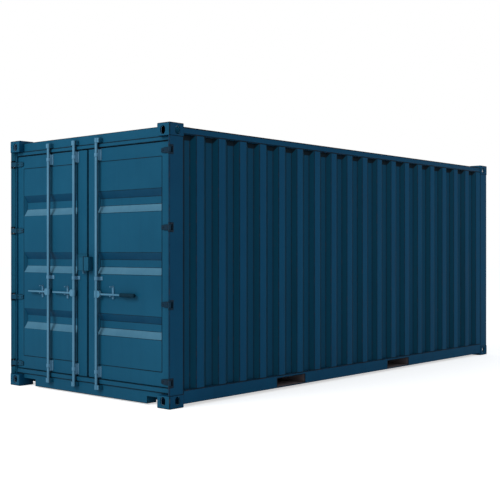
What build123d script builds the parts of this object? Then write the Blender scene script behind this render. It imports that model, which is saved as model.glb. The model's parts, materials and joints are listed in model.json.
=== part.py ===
from build123d import *
import math
import os

# Overall size of a twenty foot container, taken over its corner castings
length = 6058.0
width = 2438.0
height = 2591.0
face_setback = 5.0
cut_overrun = 4.0

# Corner castings: hollow steel blocks with oblong holes for twist locks and lashings
casting_length = 178.0
casting_width = 162.0
casting_height = 118.0
casting_plate = 28.0
casting_wall = 16.0
casting_inner_wall = 10.0
casting_round = 8.0
casting_plate_slot_length = 124.0
casting_slot_width = 63.5
casting_face_slot_height = 79.5
twist_lock_from_end = 102.5
twist_lock_from_side = 89.5

# Corner posts
post_wall = 6.0
post_lip_width = 19.0
post_step_depth = 45.0
post_inner_width = 43.0
front_post_lip = 40.0

# Long rails under and over the side walls
top_rail_size = 60.0
top_rail_wall = 3.0
top_rail_drop = 35.0
bottom_rail_base = 30.0
bottom_rail_height = 125.0
bottom_rail_flange = 48.0
bottom_rail_wall = 4.5

# Door header, door sill and the strips that close the gap over and under the leaves
door_recess = 60.0
header_drop = 26.0
header_height = 125.0
header_wall = 4.0
sill_base = 12.0
floor_level = 170.0
sill_wall = 4.5
sill_cutout_width = 200.0
sill_cutout_height = 70.0
sill_guard_wall = 8.0
strip_thickness = 12.0
header_strip_height = 38.0
sill_strip_height = 48.0
strip_clearance = 6.0

# Rails at the closed end
front_sill_base = 12.0

# Floor, cross members and fork lift pockets
floor_thickness = 28.0
floor_side_gap = 4.0
cross_member_flange = 45.0
cross_member_wall = 4.0
cross_member_count = 19
pocket_width = 460.0
pocket_height = 86.0
pocket_wall = 6.0
pocket_spacing = 2050.0
pocket_shift = -250.0
pocket_rise = 6.5

# Pressed wall and roof sheets
sheet_thickness = 2.0
sheet_setback = 2.0
side_rib_count = 19
side_rib_flat = 92.0
side_rib_slope = 30.0
side_rib_depth = 36.0
side_first_recess = 186.0
front_rib_count = 8
front_rib_flat = 100.0
front_rib_slope = 32.0
front_rib_depth = 45.0
roof_trough_count = 25
roof_trough_width = 150.0
roof_trough_slope = 30.0
roof_trough_depth = 20.0
roof_trough_margin = 90.0
roof_plate_width = 300.0
roof_plate_thickness = 3.0

# Door leaves
leaf_depth = 50.0
leaf_edge = 62.0
leaf_gap = 24.0
leaf_over_floor = 17.0
leaf_under_header = 13.0
leaf_rail_height = 133.0
leaf_outer_stile = 100.0
leaf_wall = 3.0
left_inner_stile = 150.0
right_inner_stile = 120.0
panel_trough_height = 212.0
panel_trough_slope = 70.0
panel_trough_end_slope = 12.0
panel_trough_depth = 36.0
panel_trough_margin = 6.0
panel_trough_share = 0.3
gasket_width = 14.0
gasket_back = 18.0
gasket_side_reach = 8.0
gasket_end_reach = 6.0

# Door hinges, four to a leaf
hinge_from_side = 12.0
hinge_from_end = 14.0
hinge_count = 4
hinge_over_leaf_bottom = 49.0
hinge_under_leaf_top = 82.0
hinge_meet_shares = (0.5, 0.67)
hinge_pin_radius = 8.0
hinge_pin_clearance = 0.3
hinge_knuckle_radius = 12.0
hinge_knuckle_height = 52.0
hinge_lug_height = 80.0
hinge_side_clearance = 1.0
hinge_lug_web = 6.0
hinge_blade_thickness = 10.0
hinge_blade_reach = 150.0
hinge_blade_end_height = 36.0
hinge_blade_taper = 46.0
hinge_neck_reach = 38.0
hinge_neck_rise = 30.0

# Lock rods with a cam at each end, and their keepers on the header and sill
rod_radius = 17.0
rod_from_end = 26.0
rod_bottom_margin = 68.0
rod_top_margin = 41.0
outer_rod_from_centre = 587.0
inner_rod_from_centre = 173.0
cam_height = 44.0
cam_hub_radius = 20.0
cam_reach = 38.0
cam_thickness = 20.0
keeper_clearance = 5.0
keeper_wall = 6.0
keeper_foot = 6.0
keeper_plate = 4.0
keeper_depth = 32.0
keeper_height = 46.0

# Guides that hold a rod to its leaf
guide_clearance = 0.5
guide_wall = 4.0
end_guide_foot = 16.0
mid_guide_foot = 34.0
guide_foot_thickness = 5.0
end_guide_height = 106.0
end_guide_strap = 38.0
end_guide_from_leaf_end = 66.0
mid_guide_height = 38.0
mid_guide_level = 1159.0

# Handles, pivoted in a clevis on each rod, and the catches on the leaves
handle_level = 1008.0
handle_reach = 345.0
handle_thickness = 12.0
handle_height = 20.0
handle_end_height = 15.0
handle_pivot_from_rod = 46.0
handle_pivot_radius = 5.0
handle_pivot_clearance = 0.3
handle_eye_radius = 13.0
clevis_hub_radius = 24.0
clevis_height = 70.0
clevis_round = 5.0
clevis_reach = 62.0
clevis_wall = 5.0
clevis_side_clearance = 1.0
grip_radius = 19.0
grip_length = 208.0
grip_tang_length = 160.0
grip_round = 12.0
catch_width = 25.0
catch_height = 130.0
catch_plate = 8.0
catch_end_margin = 4.0
catch_finger_height = 10.0
catch_finger_width = 12.0
catch_finger_reach = 46.0
catch_seat_clearance = 0.5
left_catch_from_rod = 138.0
right_catch_from_rod = 210.0
left_catch_lift_room = 44.0
right_catch_lift_room = 60.0

# Lock box, cut in two at the gap between the leaves
lock_box_half_width = 70.0
lock_box_height = 138.0
lock_box_level = 1231.0
lock_box_depth = 57.0
lock_box_wall = 4.0
lock_box_gap = 7.0
lock_plate_reach = 86.0
lock_plate_rise = 29.0
lock_plate_thickness = 4.0
staple_width = 34.0
staple_height = 26.0
staple_thickness = 8.0
staple_hole_radius = 7.0

RIGHT = -1
LEFT = 1

half_length = length / 2
half_width = width / 2
casting_top_level = height - casting_height
top_rail_top = height - top_rail_drop
top_rail_bottom = top_rail_top - top_rail_size
bottom_rail_top = bottom_rail_base + bottom_rail_height
header_top = height - header_drop
header_bottom = header_top - header_height
leaf_bottom = floor_level + leaf_over_floor
leaf_top = header_bottom - leaf_under_header
leaf_front = door_recess
leaf_back = door_recess + leaf_depth
post_inner_face = face_setback + post_inner_width
post_step = face_setback + post_step_depth
first_hinge_level = leaf_bottom + hinge_over_leaf_bottom
last_hinge_level = leaf_top - hinge_under_leaf_top
hinge_pitch = (last_hinge_level - first_hinge_level) / (hinge_count - 1)
hinge_levels = [first_hinge_level + step * hinge_pitch for step in range(hinge_count)]
rod_bottom = sill_base + rod_bottom_margin
rod_top = header_top - rod_top_margin
outer_rod_from_side = half_width - outer_rod_from_centre
inner_rod_from_side = half_width - inner_rod_from_centre
nodes = {}


def door_x(depth):
    """X of a plane this deep behind the door end."""
    return depth - half_length


def front_x(depth):
    """X of a plane this deep inside the closed end."""
    return half_length - depth


def side_y(side, depth):
    """Y of a plane this deep inside the named side."""
    return side * (half_width - depth)


def block(x_ends, y_ends, z_ends):
    """Box between two planes on each axis."""
    spans = [(min(ends), max(ends)) for ends in (x_ends, y_ends, z_ends)]
    sizes = [high - low for low, high in spans]
    middles = [(high + low) / 2 for low, high in spans]
    return Pos(*middles) * Box(*sizes)


def prism(points, direction, amount):
    """Closed outline in space, pushed along a direction."""
    outline = make_face(Polyline(*points, close=True))
    return extrude(outline, amount=amount, dir=direction)


def upright(plan_points, bottom, top):
    """Plan outline raised from one level to another."""
    points = [(x, y, bottom) for x, y in plan_points]
    return prism(points, (0, 0, 1), top - bottom)


def crosswise(profile_points, y_start, y_end):
    """Profile in X and Z, run across the container."""
    low = min(y_start, y_end)
    points = [(x, low, z) for x, z in profile_points]
    return prism(points, (0, 1, 0), abs(y_end - y_start))


def lengthwise(profile_points, x_start, x_end):
    """Profile in Y and Z, run along the container."""
    low = min(x_start, x_end)
    points = [(low, y, z) for y, z in profile_points]
    return prism(points, (1, 0, 0), abs(x_end - x_start))


def drum(radius, x, y, z_ends):
    """Upright cylinder between two levels."""
    low, high = min(z_ends), max(z_ends)
    return Pos(x, y, (low + high) / 2) * Cylinder(radius, high - low)


def casting_block(x_sign, y_sign, z_ends):
    """Space that a corner casting fills, for cutting what butts against it."""
    x_ends = (x_sign * half_length, x_sign * (half_length - casting_length))
    y_ends = (y_sign * half_width, y_sign * (half_width - casting_width))
    return block(x_ends, y_ends, z_ends)


def stadium(plane, long_size, short_size, turn):
    """Oblong hole cutter, centred on a plane."""
    outline = plane * Rot(0, 0, turn) * SlotOverall(long_size, short_size)
    return extrude(outline, amount=casting_plate + cut_overrun, both=True)


def corner_casting():
    """Casting with its outer corner at the origin, reaching along +X, +Y and +Z."""
    body = block((0, casting_length), (0, casting_width), (0, casting_height))
    edges = body.edges()
    outer = edges.group_by(Axis.X)[0] + edges.group_by(Axis.Y)[0] + edges.group_by(Axis.Z)[0]
    corners = [edge for edge in set(outer) if near_outer_corner(edge)]
    body = fillet(corners, casting_round)
    x_ends = (casting_wall, casting_length - casting_inner_wall)
    y_ends = (casting_wall, casting_width - casting_inner_wall)
    z_ends = (casting_plate, casting_height - casting_inner_wall)
    body -= block(x_ends, y_ends, z_ends)
    middle = (casting_plate + casting_height - casting_inner_wall) / 2
    plate_hole = Plane(origin=(twist_lock_from_end, twist_lock_from_side, 0), z_dir=(0, 0, 1))
    end_hole = Plane(origin=(0, twist_lock_from_side, middle), x_dir=(0, 0, 1), z_dir=(1, 0, 0))
    side_hole = Plane(origin=(twist_lock_from_end, 0, middle), x_dir=(0, 0, 1), z_dir=(0, 1, 0))
    body -= stadium(plate_hole, casting_plate_slot_length, casting_slot_width, 0)
    body -= stadium(end_hole, casting_face_slot_height, casting_slot_width, 0)
    body -= stadium(side_hole, casting_face_slot_height, casting_slot_width, 0)
    return body


def near_outer_corner(edge):
    """True for the three edges that meet in the casting's outer corner."""
    centre = edge.center()
    return sum(abs(value) < cut_overrun for value in (centre.X, centre.Y, centre.Z)) == 2


def add_castings():
    """Eight castings, one in each corner."""
    base = Pos(-half_length, -half_width, 0) * corner_casting()
    upper = Pos(0, 0, height) * mirror(base, about=Plane.XY)
    for level, casting in (("bottom", base), ("top", upper)):
        left = mirror(casting, about=Plane.XZ)
        nodes[f"door_right_{level}_casting"] = casting
        nodes[f"door_left_{level}_casting"] = left
        nodes[f"front_right_{level}_casting"] = mirror(casting, about=Plane.YZ)
        nodes[f"front_left_{level}_casting"] = mirror(left, about=Plane.YZ)


def door_post(side):
    """Hollow door post: a narrow lip at the corner, stepped back to make room for the leaf."""
    lip = face_setback + post_lip_width
    outer = [
        (face_setback, face_setback),
        (lip, face_setback),
        (lip, post_step),
        (post_inner_face, post_step),
        (post_inner_face, casting_length),
        (face_setback, casting_length),
    ]
    inner = [
        (face_setback + post_wall, face_setback + post_wall),
        (lip - post_wall, face_setback + post_wall),
        (lip - post_wall, post_step + post_wall),
        (post_inner_face - post_wall, post_step + post_wall),
        (post_inner_face - post_wall, casting_length - post_wall),
        (face_setback + post_wall, casting_length - post_wall),
    ]
    shell = upright(door_plan(side, outer), casting_height, casting_top_level)
    shell -= upright(door_plan(side, inner), casting_height, casting_top_level)
    for level in hinge_levels:
        y_ends = (side_y(side, 0), side_y(side, lip))
        z_ends = (level - hinge_lug_height / 2, level + hinge_lug_height / 2)
        shell -= block((door_x(0), door_x(post_step)), y_ends, z_ends)
    return shell


def door_plan(side, points):
    """Turns points given from the side and from the door end into X and Y."""
    return [(door_x(deep), side_y(side, inward)) for inward, deep in points]


def front_post(side):
    """Pressed post at the closed end, open towards the inside."""
    outer = face_setback
    inner = face_setback + post_wall
    points = [
        (outer, outer),
        (casting_width, outer),
        (casting_width, outer + front_post_lip),
        (casting_width - post_wall, outer + front_post_lip),
        (casting_width - post_wall, inner),
        (inner, inner),
        (inner, casting_length - post_wall),
        (inner + front_post_lip, casting_length - post_wall),
        (inner + front_post_lip, casting_length),
        (outer, casting_length),
    ]
    plan = [(front_x(deep), side_y(side, inward)) for inward, deep in points]
    return upright(plan, casting_height, casting_top_level)


def add_posts():
    """The two door posts and the two posts at the closed end."""
    nodes["right_door_post"] = door_post(RIGHT)
    nodes["left_door_post"] = door_post(LEFT)
    nodes["right_front_post"] = front_post(RIGHT)
    nodes["left_front_post"] = front_post(LEFT)


def top_rail(side):
    """Square tube over a side wall, between the top castings."""
    x_ends = (door_x(casting_length), front_x(casting_length))
    y_ends = (side_y(side, face_setback), side_y(side, face_setback + top_rail_size))
    tube = block(x_ends, y_ends, (top_rail_bottom, top_rail_top))
    wall = top_rail_wall
    y_inner = (side_y(side, face_setback + wall), side_y(side, face_setback + top_rail_size - wall))
    return tube - block(x_ends, y_inner, (top_rail_bottom + wall, top_rail_top - wall))


def pocket_centres():
    """X of the two fork pockets."""
    return [pocket_shift - pocket_spacing / 2, pocket_shift + pocket_spacing / 2]


def pocket_levels():
    """Bottom and top of a fork pocket's opening."""
    low = bottom_rail_base + bottom_rail_wall + pocket_rise
    return low, low + pocket_height


def bottom_rail(side):
    """Channel under a side wall, open to the inside, cut through for the fork pockets."""
    web = face_setback + bottom_rail_wall
    flange = face_setback + bottom_rail_flange
    low = bottom_rail_base
    points = [
        (face_setback, low),
        (flange, low),
        (flange, low + bottom_rail_wall),
        (web, low + bottom_rail_wall),
        (web, bottom_rail_top - bottom_rail_wall),
        (flange, bottom_rail_top - bottom_rail_wall),
        (flange, bottom_rail_top),
        (face_setback, bottom_rail_top),
    ]
    profile = [(side_y(side, inward), z) for inward, z in points]
    rail = lengthwise(profile, door_x(casting_length), front_x(casting_length))
    for centre in pocket_centres():
        x_ends = (centre - pocket_width / 2, centre + pocket_width / 2)
        rail -= block(x_ends, (side_y(side, 0), side_y(side, web)), pocket_levels())
    return rail


def add_side_rails():
    """Top and bottom rail of each long side."""
    for side, name in ((RIGHT, "right"), (LEFT, "left")):
        nodes[f"{name}_top_rail"] = top_rail(side)
        nodes[f"{name}_bottom_rail"] = bottom_rail(side)


def door_header():
    """Box section over the doors, fitted between the posts and the top castings."""
    wall = header_wall
    end = half_width - post_inner_face
    x_ends = (door_x(door_recess), door_x(casting_length))
    x_inner = (door_x(door_recess + wall), door_x(casting_length - wall))
    header = block(x_ends, (-end, end), (header_bottom, header_top))
    header -= block(x_inner, (-end, end), (header_bottom + wall, header_top - wall))
    for side in (RIGHT, LEFT):
        header -= casting_block(-1, side, (casting_top_level, height))
    return header


def door_sill():
    """Channel under the doors with a tread on top, cut away beside the bottom castings."""
    wall = sill_wall
    front = door_x(door_recess)
    back = door_x(casting_length)
    points = [
        (front, sill_base),
        (back, sill_base),
        (back, sill_base + wall),
        (front + wall, sill_base + wall),
        (front + wall, floor_level - wall),
        (back, floor_level - wall),
        (back, floor_level),
        (front, floor_level),
    ]
    end = half_width - post_inner_face
    sill = crosswise(points, -end, end)
    for side in (RIGHT, LEFT):
        sill -= casting_block(-1, side, (0, casting_height))
        y_ends = (side_y(side, casting_width), side_y(side, casting_width + sill_cutout_width))
        top = sill_base + sill_cutout_height
        sill -= block((front, back), y_ends, (sill_base, top))
        guard_end = casting_width + sill_cutout_width + sill_guard_wall
        guard_y = (side_y(side, casting_width), side_y(side, guard_end))
        guard = block((front, back), guard_y, (sill_base, top + sill_guard_wall))
        sill += guard - block((front, back), y_ends, (sill_base, top))
    return sill


def lip_strips():
    """Flat bars on the header and on the sill, just clear of the leaves."""
    x_ends = (door_x(door_recess - strip_thickness), door_x(door_recess))
    end = half_width - post_inner_face
    header_low = leaf_top + strip_clearance
    sill_high = leaf_bottom - strip_clearance
    strip_end = end - strip_thickness
    upper = block(x_ends, (-strip_end, strip_end), (header_low, header_low + header_strip_height))
    lower = block(x_ends, (-strip_end, strip_end), (sill_high - sill_strip_height, sill_high))
    return upper, lower


def add_door_end_frame():
    """Header, sill and their strips."""
    upper, lower = lip_strips()
    nodes["door_header"] = door_header()
    nodes["header_lip_strip"] = upper
    nodes["door_sill"] = door_sill()
    nodes["sill_lip_strip"] = lower


def front_sill():
    """Channel under the closed end, open to the inside."""
    wall = bottom_rail_wall
    front = front_x(face_setback)
    back = front_x(face_setback + bottom_rail_flange)
    points = [
        (front, front_sill_base),
        (back, front_sill_base),
        (back, front_sill_base + wall),
        (front - wall, front_sill_base + wall),
        (front - wall, bottom_rail_top - wall),
        (back, bottom_rail_top - wall),
        (back, bottom_rail_top),
        (front, bottom_rail_top),
    ]
    end = half_width - casting_width
    return crosswise(points, -end, end)


def front_top_rail():
    """Square tube over the closed end."""
    wall = top_rail_wall
    end = half_width - casting_width
    x_ends = (front_x(face_setback), front_x(face_setback + top_rail_size))
    x_inner = (front_x(face_setback + wall), front_x(face_setback + top_rail_size - wall))
    rail = block(x_ends, (-end, end), (top_rail_bottom, top_rail_top))
    return rail - block(x_inner, (-end, end), (top_rail_bottom + wall, top_rail_top - wall))


def add_front_end_frame():
    """Sill and top rail of the closed end."""
    nodes["front_sill"] = front_sill()
    nodes["front_top_rail"] = front_top_rail()


def fork_pocket(centre):
    """Box section through the base, between the webs of the two bottom rails."""
    low, high = pocket_levels()
    end = half_width - face_setback - bottom_rail_wall
    half = pocket_width / 2
    wall = pocket_wall
    outer = block((centre - half - wall, centre + half + wall), (-end, end), (low - wall, high + wall))
    return outer - block((centre - half, centre + half), (-end, end), (low, high))


def cross_member(x):
    """Pressed channel that carries the floor, from rail to rail."""
    low = bottom_rail_base + bottom_rail_wall
    high = floor_level - floor_thickness
    wall = cross_member_wall
    flange = cross_member_flange
    points = [
        (x, low),
        (x + flange, low),
        (x + flange, low + wall),
        (x + wall, low + wall),
        (x + wall, high - wall),
        (x + flange, high - wall),
        (x + flange, high),
        (x, high),
    ]
    end = half_width - face_setback - bottom_rail_wall
    return crosswise(points, -end, end)


def cross_member_places():
    """Evenly spaced places, less those that a fork pocket takes."""
    start = door_x(casting_length)
    end = front_x(casting_length)
    pitch = (end - start - cross_member_flange) / (cross_member_count - 1)
    room = pocket_width / 2 + pocket_wall
    places = []
    for index in range(cross_member_count):
        x = start + index * pitch
        clear = [x > c + room or x + cross_member_flange < c - room for c in pocket_centres()]
        if all(clear):
            places.append(x)
    return places


def floor_boards():
    """Plywood floor from the sill to the closed end."""
    inward = face_setback + bottom_rail_flange + floor_side_gap
    end_gap = face_setback + sheet_setback + front_rib_depth + sheet_thickness + floor_side_gap
    x_ends = (door_x(casting_length), front_x(end_gap))
    y_ends = (side_y(RIGHT, inward), side_y(LEFT, inward))
    boards = block(x_ends, y_ends, (floor_level - floor_thickness, floor_level))
    post_room = casting_width + floor_side_gap
    for side in (RIGHT, LEFT):
        y_post = (side_y(side, 0), side_y(side, post_room))
        x_post = (front_x(0), front_x(casting_length + floor_side_gap))
        boards -= block(x_post, y_post, (0, height))
    return boards


def add_base():
    """Fork pockets, cross members and floor."""
    pockets = [fork_pocket(centre) for centre in pocket_centres()]
    nodes["door_side_fork_pocket"] = pockets[0]
    nodes["front_side_fork_pocket"] = pockets[1]
    nodes["cross_members"] = Compound(children=[cross_member(x) for x in cross_member_places()])
    nodes["floor"] = floor_boards()


def ribbed_plan(marks, depth, slope):
    """Outline of a ribbed sheet. Each mark is a place along it, its level and its lean."""
    lean_size = sheet_thickness * math.tan(math.atan2(depth, slope) / 2)
    outer = [(place, level * depth) for place, level, lean in marks]
    inner = [(place + lean * lean_size, level * depth + sheet_thickness) for place, level, lean in marks]
    return outer + inner[::-1]


def side_wall(side):
    """Ribbed side sheet: a recess beside the door post, then flats and recesses by turns."""
    start = casting_length
    end = length - casting_length
    pitch = (end - start) / side_rib_count
    marks = [(start, 1, 0)]
    for index in range(side_rib_count):
        flat_start = start + side_first_recess + index * pitch
        flat_end = flat_start + side_rib_flat
        marks.append((flat_start - side_rib_slope, 1, 1))
        marks.append((flat_start, 0, 1))
        if index < side_rib_count - 1:
            marks.append((flat_end, 0, -1))
            marks.append((flat_end + side_rib_slope, 1, -1))
    marks.append((end, 0, 0))
    outline = ribbed_plan(marks, side_rib_depth, side_rib_slope)
    sheet_face = face_setback + sheet_setback
    plan = [(door_x(along), side_y(side, sheet_face + deep)) for along, deep in outline]
    return upright(plan, bottom_rail_top, top_rail_bottom)


def front_wall():
    """Ribbed sheet that closes the front end, with deeper ribs."""
    span = width - 2 * casting_width
    pitch = span / front_rib_count
    marks = [(0, 0, 0)]
    for index in range(front_rib_count):
        flat_end = index * pitch + front_rib_flat / 2
        next_flat = (index + 1) * pitch - front_rib_flat / 2
        marks.append((flat_end, 0, -1))
        marks.append((flat_end + front_rib_slope, 1, -1))
        marks.append((next_flat - front_rib_slope, 1, 1))
        marks.append((next_flat, 0, 1))
    marks.append((span, 0, 0))
    outline = ribbed_plan(marks, front_rib_depth, front_rib_slope)
    sheet_face = face_setback + sheet_setback
    plan = [(front_x(sheet_face + deep), along - span / 2) for along, deep in outline]
    return upright(plan, bottom_rail_top, top_rail_bottom)


def frustum(centre, sizes, end_sizes, depth, plane_points):
    """Solid between a rectangle and a smaller one, a given depth away."""
    faces = []
    for (wide, tall), away in ((sizes, 0), (end_sizes, depth)):
        corners = []
        for side, up in ((-1, -1), (1, -1), (1, 1), (-1, 1)):
            across = centre[0] + side * wide / 2
            along = centre[1] + up * tall / 2
            corners.append(plane_points(across, along, away))
        faces.append(make_face(Polyline(*corners, close=True)))
    return loft(faces)


def press_trough(sheet, centre, sizes, slopes, depth, plane_points):
    """Presses one flat-bottomed trough into a sheet, with a slope for each direction."""
    grows = [sheet_thickness * math.hypot(slope, depth) / depth for slope in slopes]
    skin_depth = depth + sheet_thickness
    skin_sizes = [size + 2 * grow for size, grow in zip(sizes, grows)]
    skin_falls = [2 * slope * skin_depth / depth for slope in slopes]
    skin_end = [size - fall for size, fall in zip(skin_sizes, skin_falls)]
    void_end = [size - 2 * slope for size, slope in zip(sizes, slopes)]
    sheet += frustum(centre, skin_sizes, skin_end, skin_depth, plane_points)
    sheet -= frustum(centre, sizes, void_end, depth, plane_points)
    return sheet


def roof_panel():
    """Roof sheet on the rails, with cross troughs pressed down into it."""
    top = top_rail_top + sheet_thickness
    inward = face_setback + sheet_setback
    x_ends = (door_x(casting_length), front_x(inward))
    y_ends = (side_y(RIGHT, inward), side_y(LEFT, inward))
    sheet = block(x_ends, y_ends, (top_rail_top, top))
    for side in (RIGHT, LEFT):
        sheet -= casting_block(1, side, (casting_top_level, height))
    start = door_x(casting_length) + roof_trough_margin
    end = front_x(casting_length) - roof_trough_margin
    pitch = (end - start) / roof_trough_count
    clear_width = width - 2 * (face_setback + top_rail_size + roof_trough_margin)
    slopes = (roof_trough_slope, roof_trough_slope)
    for index in range(roof_trough_count):
        centre = (start + (index + 1 / 2) * pitch, 0)
        sizes = (roof_trough_width, clear_width)
        sheet = press_trough(sheet, centre, sizes, slopes, roof_trough_depth, roof_point)
    return sheet


def roof_point(across, along, away):
    """Point on the roof, measured down from its top face."""
    return (across, along, top_rail_top + sheet_thickness - away)


def roof_corner_plates():
    """Doubler plates on the roof beside the front castings and behind the header."""
    low = top_rail_top + sheet_thickness
    high = low + roof_plate_thickness
    inward = face_setback + sheet_setback
    plates = []
    for side in (RIGHT, LEFT):
        y_ends = (side_y(side, inward), side_y(side, inward + roof_plate_width))
        x_front = (front_x(casting_length), front_x(casting_length + roof_trough_margin))
        x_door = (door_x(casting_length), door_x(casting_length + roof_trough_margin))
        plates.append(block(x_front, y_ends, (low, high)))
        plates.append(block(x_door, y_ends, (low, high)))
    return Compound(children=plates)


def add_walls_and_roof():
    """Pressed sheets of the sides, the closed end and the roof."""
    nodes["right_side_wall"] = side_wall(RIGHT)
    nodes["left_side_wall"] = side_wall(LEFT)
    nodes["front_wall"] = front_wall()
    nodes["roof_panel"] = roof_panel()
    nodes["roof_corner_plates"] = roof_corner_plates()


def hinge_lugs(side):
    """Forged lugs let into the door post, each with its welded pin."""
    x = door_x(hinge_from_end)
    y = side_y(side, hinge_from_side)
    lip = face_setback + post_lip_width
    half = hinge_lug_height / 2
    ear_base = hinge_knuckle_height / 2 + hinge_side_clearance
    x_ends = (door_x(face_setback), door_x(post_step))
    y_ends = (side_y(side, face_setback), side_y(side, lip))
    web_x = (door_x(post_step - hinge_lug_web), door_x(post_step))
    lugs = []
    for level in hinge_levels:
        lug = block(web_x, y_ends, (level - half, level + half))
        for low, high in ((level - half, level - ear_base), (level + ear_base, level + half)):
            lug += block(x_ends, y_ends, (low, high))
            lug += drum(hinge_knuckle_radius, x, y, (low, high))
        lug += drum(hinge_pin_radius, x, y, (level - half, level + half))
        lugs.append(lug)
    return Compound(children=lugs)


def hinge_blades(side):
    """Forged blades: a knuckle round the pin, a cranked neck and a flat strap on the leaf."""
    x = door_x(hinge_from_end)
    y = side_y(side, hinge_from_side)
    radius = hinge_knuckle_radius
    leaf_rise = leaf_front - hinge_from_end
    leaf_start = leaf_edge - hinge_from_side
    strap_front = leaf_rise - hinge_blade_thickness
    front_meet = radius * hinge_meet_shares[0]
    side_meet = radius * hinge_meet_shares[1]
    points = [
        (front_meet, -side_meet),
        (hinge_neck_reach + front_meet, hinge_neck_rise - hinge_blade_thickness),
        (leaf_start, strap_front),
        (hinge_blade_reach, strap_front),
        (hinge_blade_reach, leaf_rise),
        (leaf_start, leaf_rise),
        (hinge_neck_reach, hinge_neck_rise),
        (-side_meet, front_meet),
    ]
    plan = [(x + rise, y - side * reach) for reach, rise in points]
    half = hinge_knuckle_height / 2
    end_half = hinge_blade_end_height / 2
    far = hinge_from_side + hinge_blade_reach
    bore = hinge_pin_radius + hinge_pin_clearance
    blades = []
    for level in hinge_levels:
        face = [
            (side_y(side, 0), level - half),
            (side_y(side, far - hinge_blade_taper), level - half),
            (side_y(side, far), level - end_half),
            (side_y(side, far), level + end_half),
            (side_y(side, far - hinge_blade_taper), level + half),
            (side_y(side, 0), level + half),
        ]
        blade = upright(plan, level - half, level + half)
        blade += drum(radius, x, y, (level - half, level + half))
        blade &= lengthwise(face, door_x(0), door_x(leaf_front))
        blade -= drum(bore, x, y, (level - half, level + half))
        blades.append(blade)
    return Compound(children=blades)


def leaf_ends(side, inner_stile):
    """Y of a leaf's two edges and of the two edges of the opening in its frame."""
    outer = side_y(side, leaf_edge)
    inner = side * leaf_gap / 2
    opening = (outer - side * leaf_outer_stile, inner + side * inner_stile)
    return outer, inner, opening


def leaf_frame(side, inner_stile):
    """Welded leaf frame: two hollow stiles, and two rails open to the inside."""
    outer, inner, opening = leaf_ends(side, inner_stile)
    wall = leaf_wall
    x_ends = (door_x(leaf_front), door_x(leaf_back))
    x_hollow = (door_x(leaf_front + wall), door_x(leaf_back - wall))
    x_open = (door_x(leaf_front + wall), door_x(leaf_back))
    low_rail = (leaf_bottom + wall, leaf_bottom + leaf_rail_height - wall)
    high_rail = (leaf_top - leaf_rail_height + wall, leaf_top - wall)
    z_opening = (leaf_bottom + leaf_rail_height, leaf_top - leaf_rail_height)
    frame = block(x_ends, (outer, inner), (leaf_bottom, leaf_top))
    frame -= block(x_ends, opening, z_opening)
    outer_hollow = (outer - side * wall, opening[0] + side * wall)
    inner_hollow = (inner + side * wall, opening[1] - side * wall)
    for hollow in (outer_hollow, inner_hollow):
        frame -= block(x_hollow, hollow, (leaf_bottom, leaf_top))
    for rail in (low_rail, high_rail):
        frame -= block(x_open, opening, rail)
    return frame


def leaf_panel(side, inner_stile):
    """Pressed door sheet with three level troughs, welded inside the leaf frame."""
    outer, inner, opening = leaf_ends(side, inner_stile)
    low = leaf_bottom + leaf_rail_height
    high = leaf_top - leaf_rail_height
    face = door_x(leaf_front)
    sheet = block((face, face + sheet_thickness), opening, (low, high))
    middle = ((opening[0] + opening[1]) / 2, (low + high) / 2)
    wide = abs(opening[0] - opening[1]) - 2 * panel_trough_margin
    sizes = (wide, panel_trough_height)
    slopes = (panel_trough_end_slope, panel_trough_slope)
    for step in (-1, 0, 1):
        centre = (middle[0], middle[1] + step * panel_trough_share * (high - low))
        sheet = press_trough(sheet, centre, sizes, slopes, panel_trough_depth, leaf_point)
    return sheet


def leaf_point(across, along, away):
    """Point on a leaf's sheet, measured inwards from its outer face."""
    return (door_x(leaf_front + away), across, along)


def leaf_gasket(side, inner_stile):
    """Rubber seal round the edge of a leaf."""
    outer, inner, opening = leaf_ends(side, inner_stile)
    x_ends = (door_x(leaf_front + gasket_back), door_x(leaf_front + gasket_back + gasket_width))
    y_ends = (outer + side * gasket_side_reach, inner - side * gasket_end_reach)
    ring = block(x_ends, y_ends, (leaf_bottom - gasket_end_reach, leaf_top + gasket_end_reach))
    return ring - block(x_ends, (outer, inner), (leaf_bottom, leaf_top))


def rod_guide(side, rod_from_side, level, tall, strap, foot_width):
    """Saddle round a rod, with feet on the leaf. The strap at its front may be shorter."""
    x = door_x(rod_from_end)
    y = side_y(side, rod_from_side)
    bore = rod_radius + guide_clearance
    outside = bore + guide_wall
    z_ends = (level - tall / 2, level + tall / 2)
    x_leaf = door_x(leaf_front)
    saddle = drum(outside, x, y, z_ends)
    saddle += block((x, x_leaf), (y - outside, y + outside), z_ends)
    foot = outside + foot_width
    saddle += block((x_leaf - guide_foot_thickness, x_leaf), (y - foot, y + foot), z_ends)
    saddle -= drum(bore, x, y, z_ends)
    saddle -= block((x, x_leaf), (y - bore, y + bore), z_ends)
    if tall > strap:
        for low, high in ((z_ends[0], level - strap / 2), (level + strap / 2, z_ends[1])):
            saddle -= block((door_x(0), x), (y - outside, y + outside), (low, high))
    return saddle


def rod_guides(side, rods_from_side):
    """An upper, a middle and a lower guide on each rod."""
    low = leaf_bottom + end_guide_from_leaf_end
    high = leaf_top - end_guide_from_leaf_end
    guides = []
    for place in rods_from_side:
        for level in (low, high):
            guides.append(rod_guide(side, place, level, end_guide_height, end_guide_strap, end_guide_foot))
        tall = mid_guide_height
        guides.append(rod_guide(side, place, mid_guide_level, tall, tall, mid_guide_foot))
    return Compound(children=guides)


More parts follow.
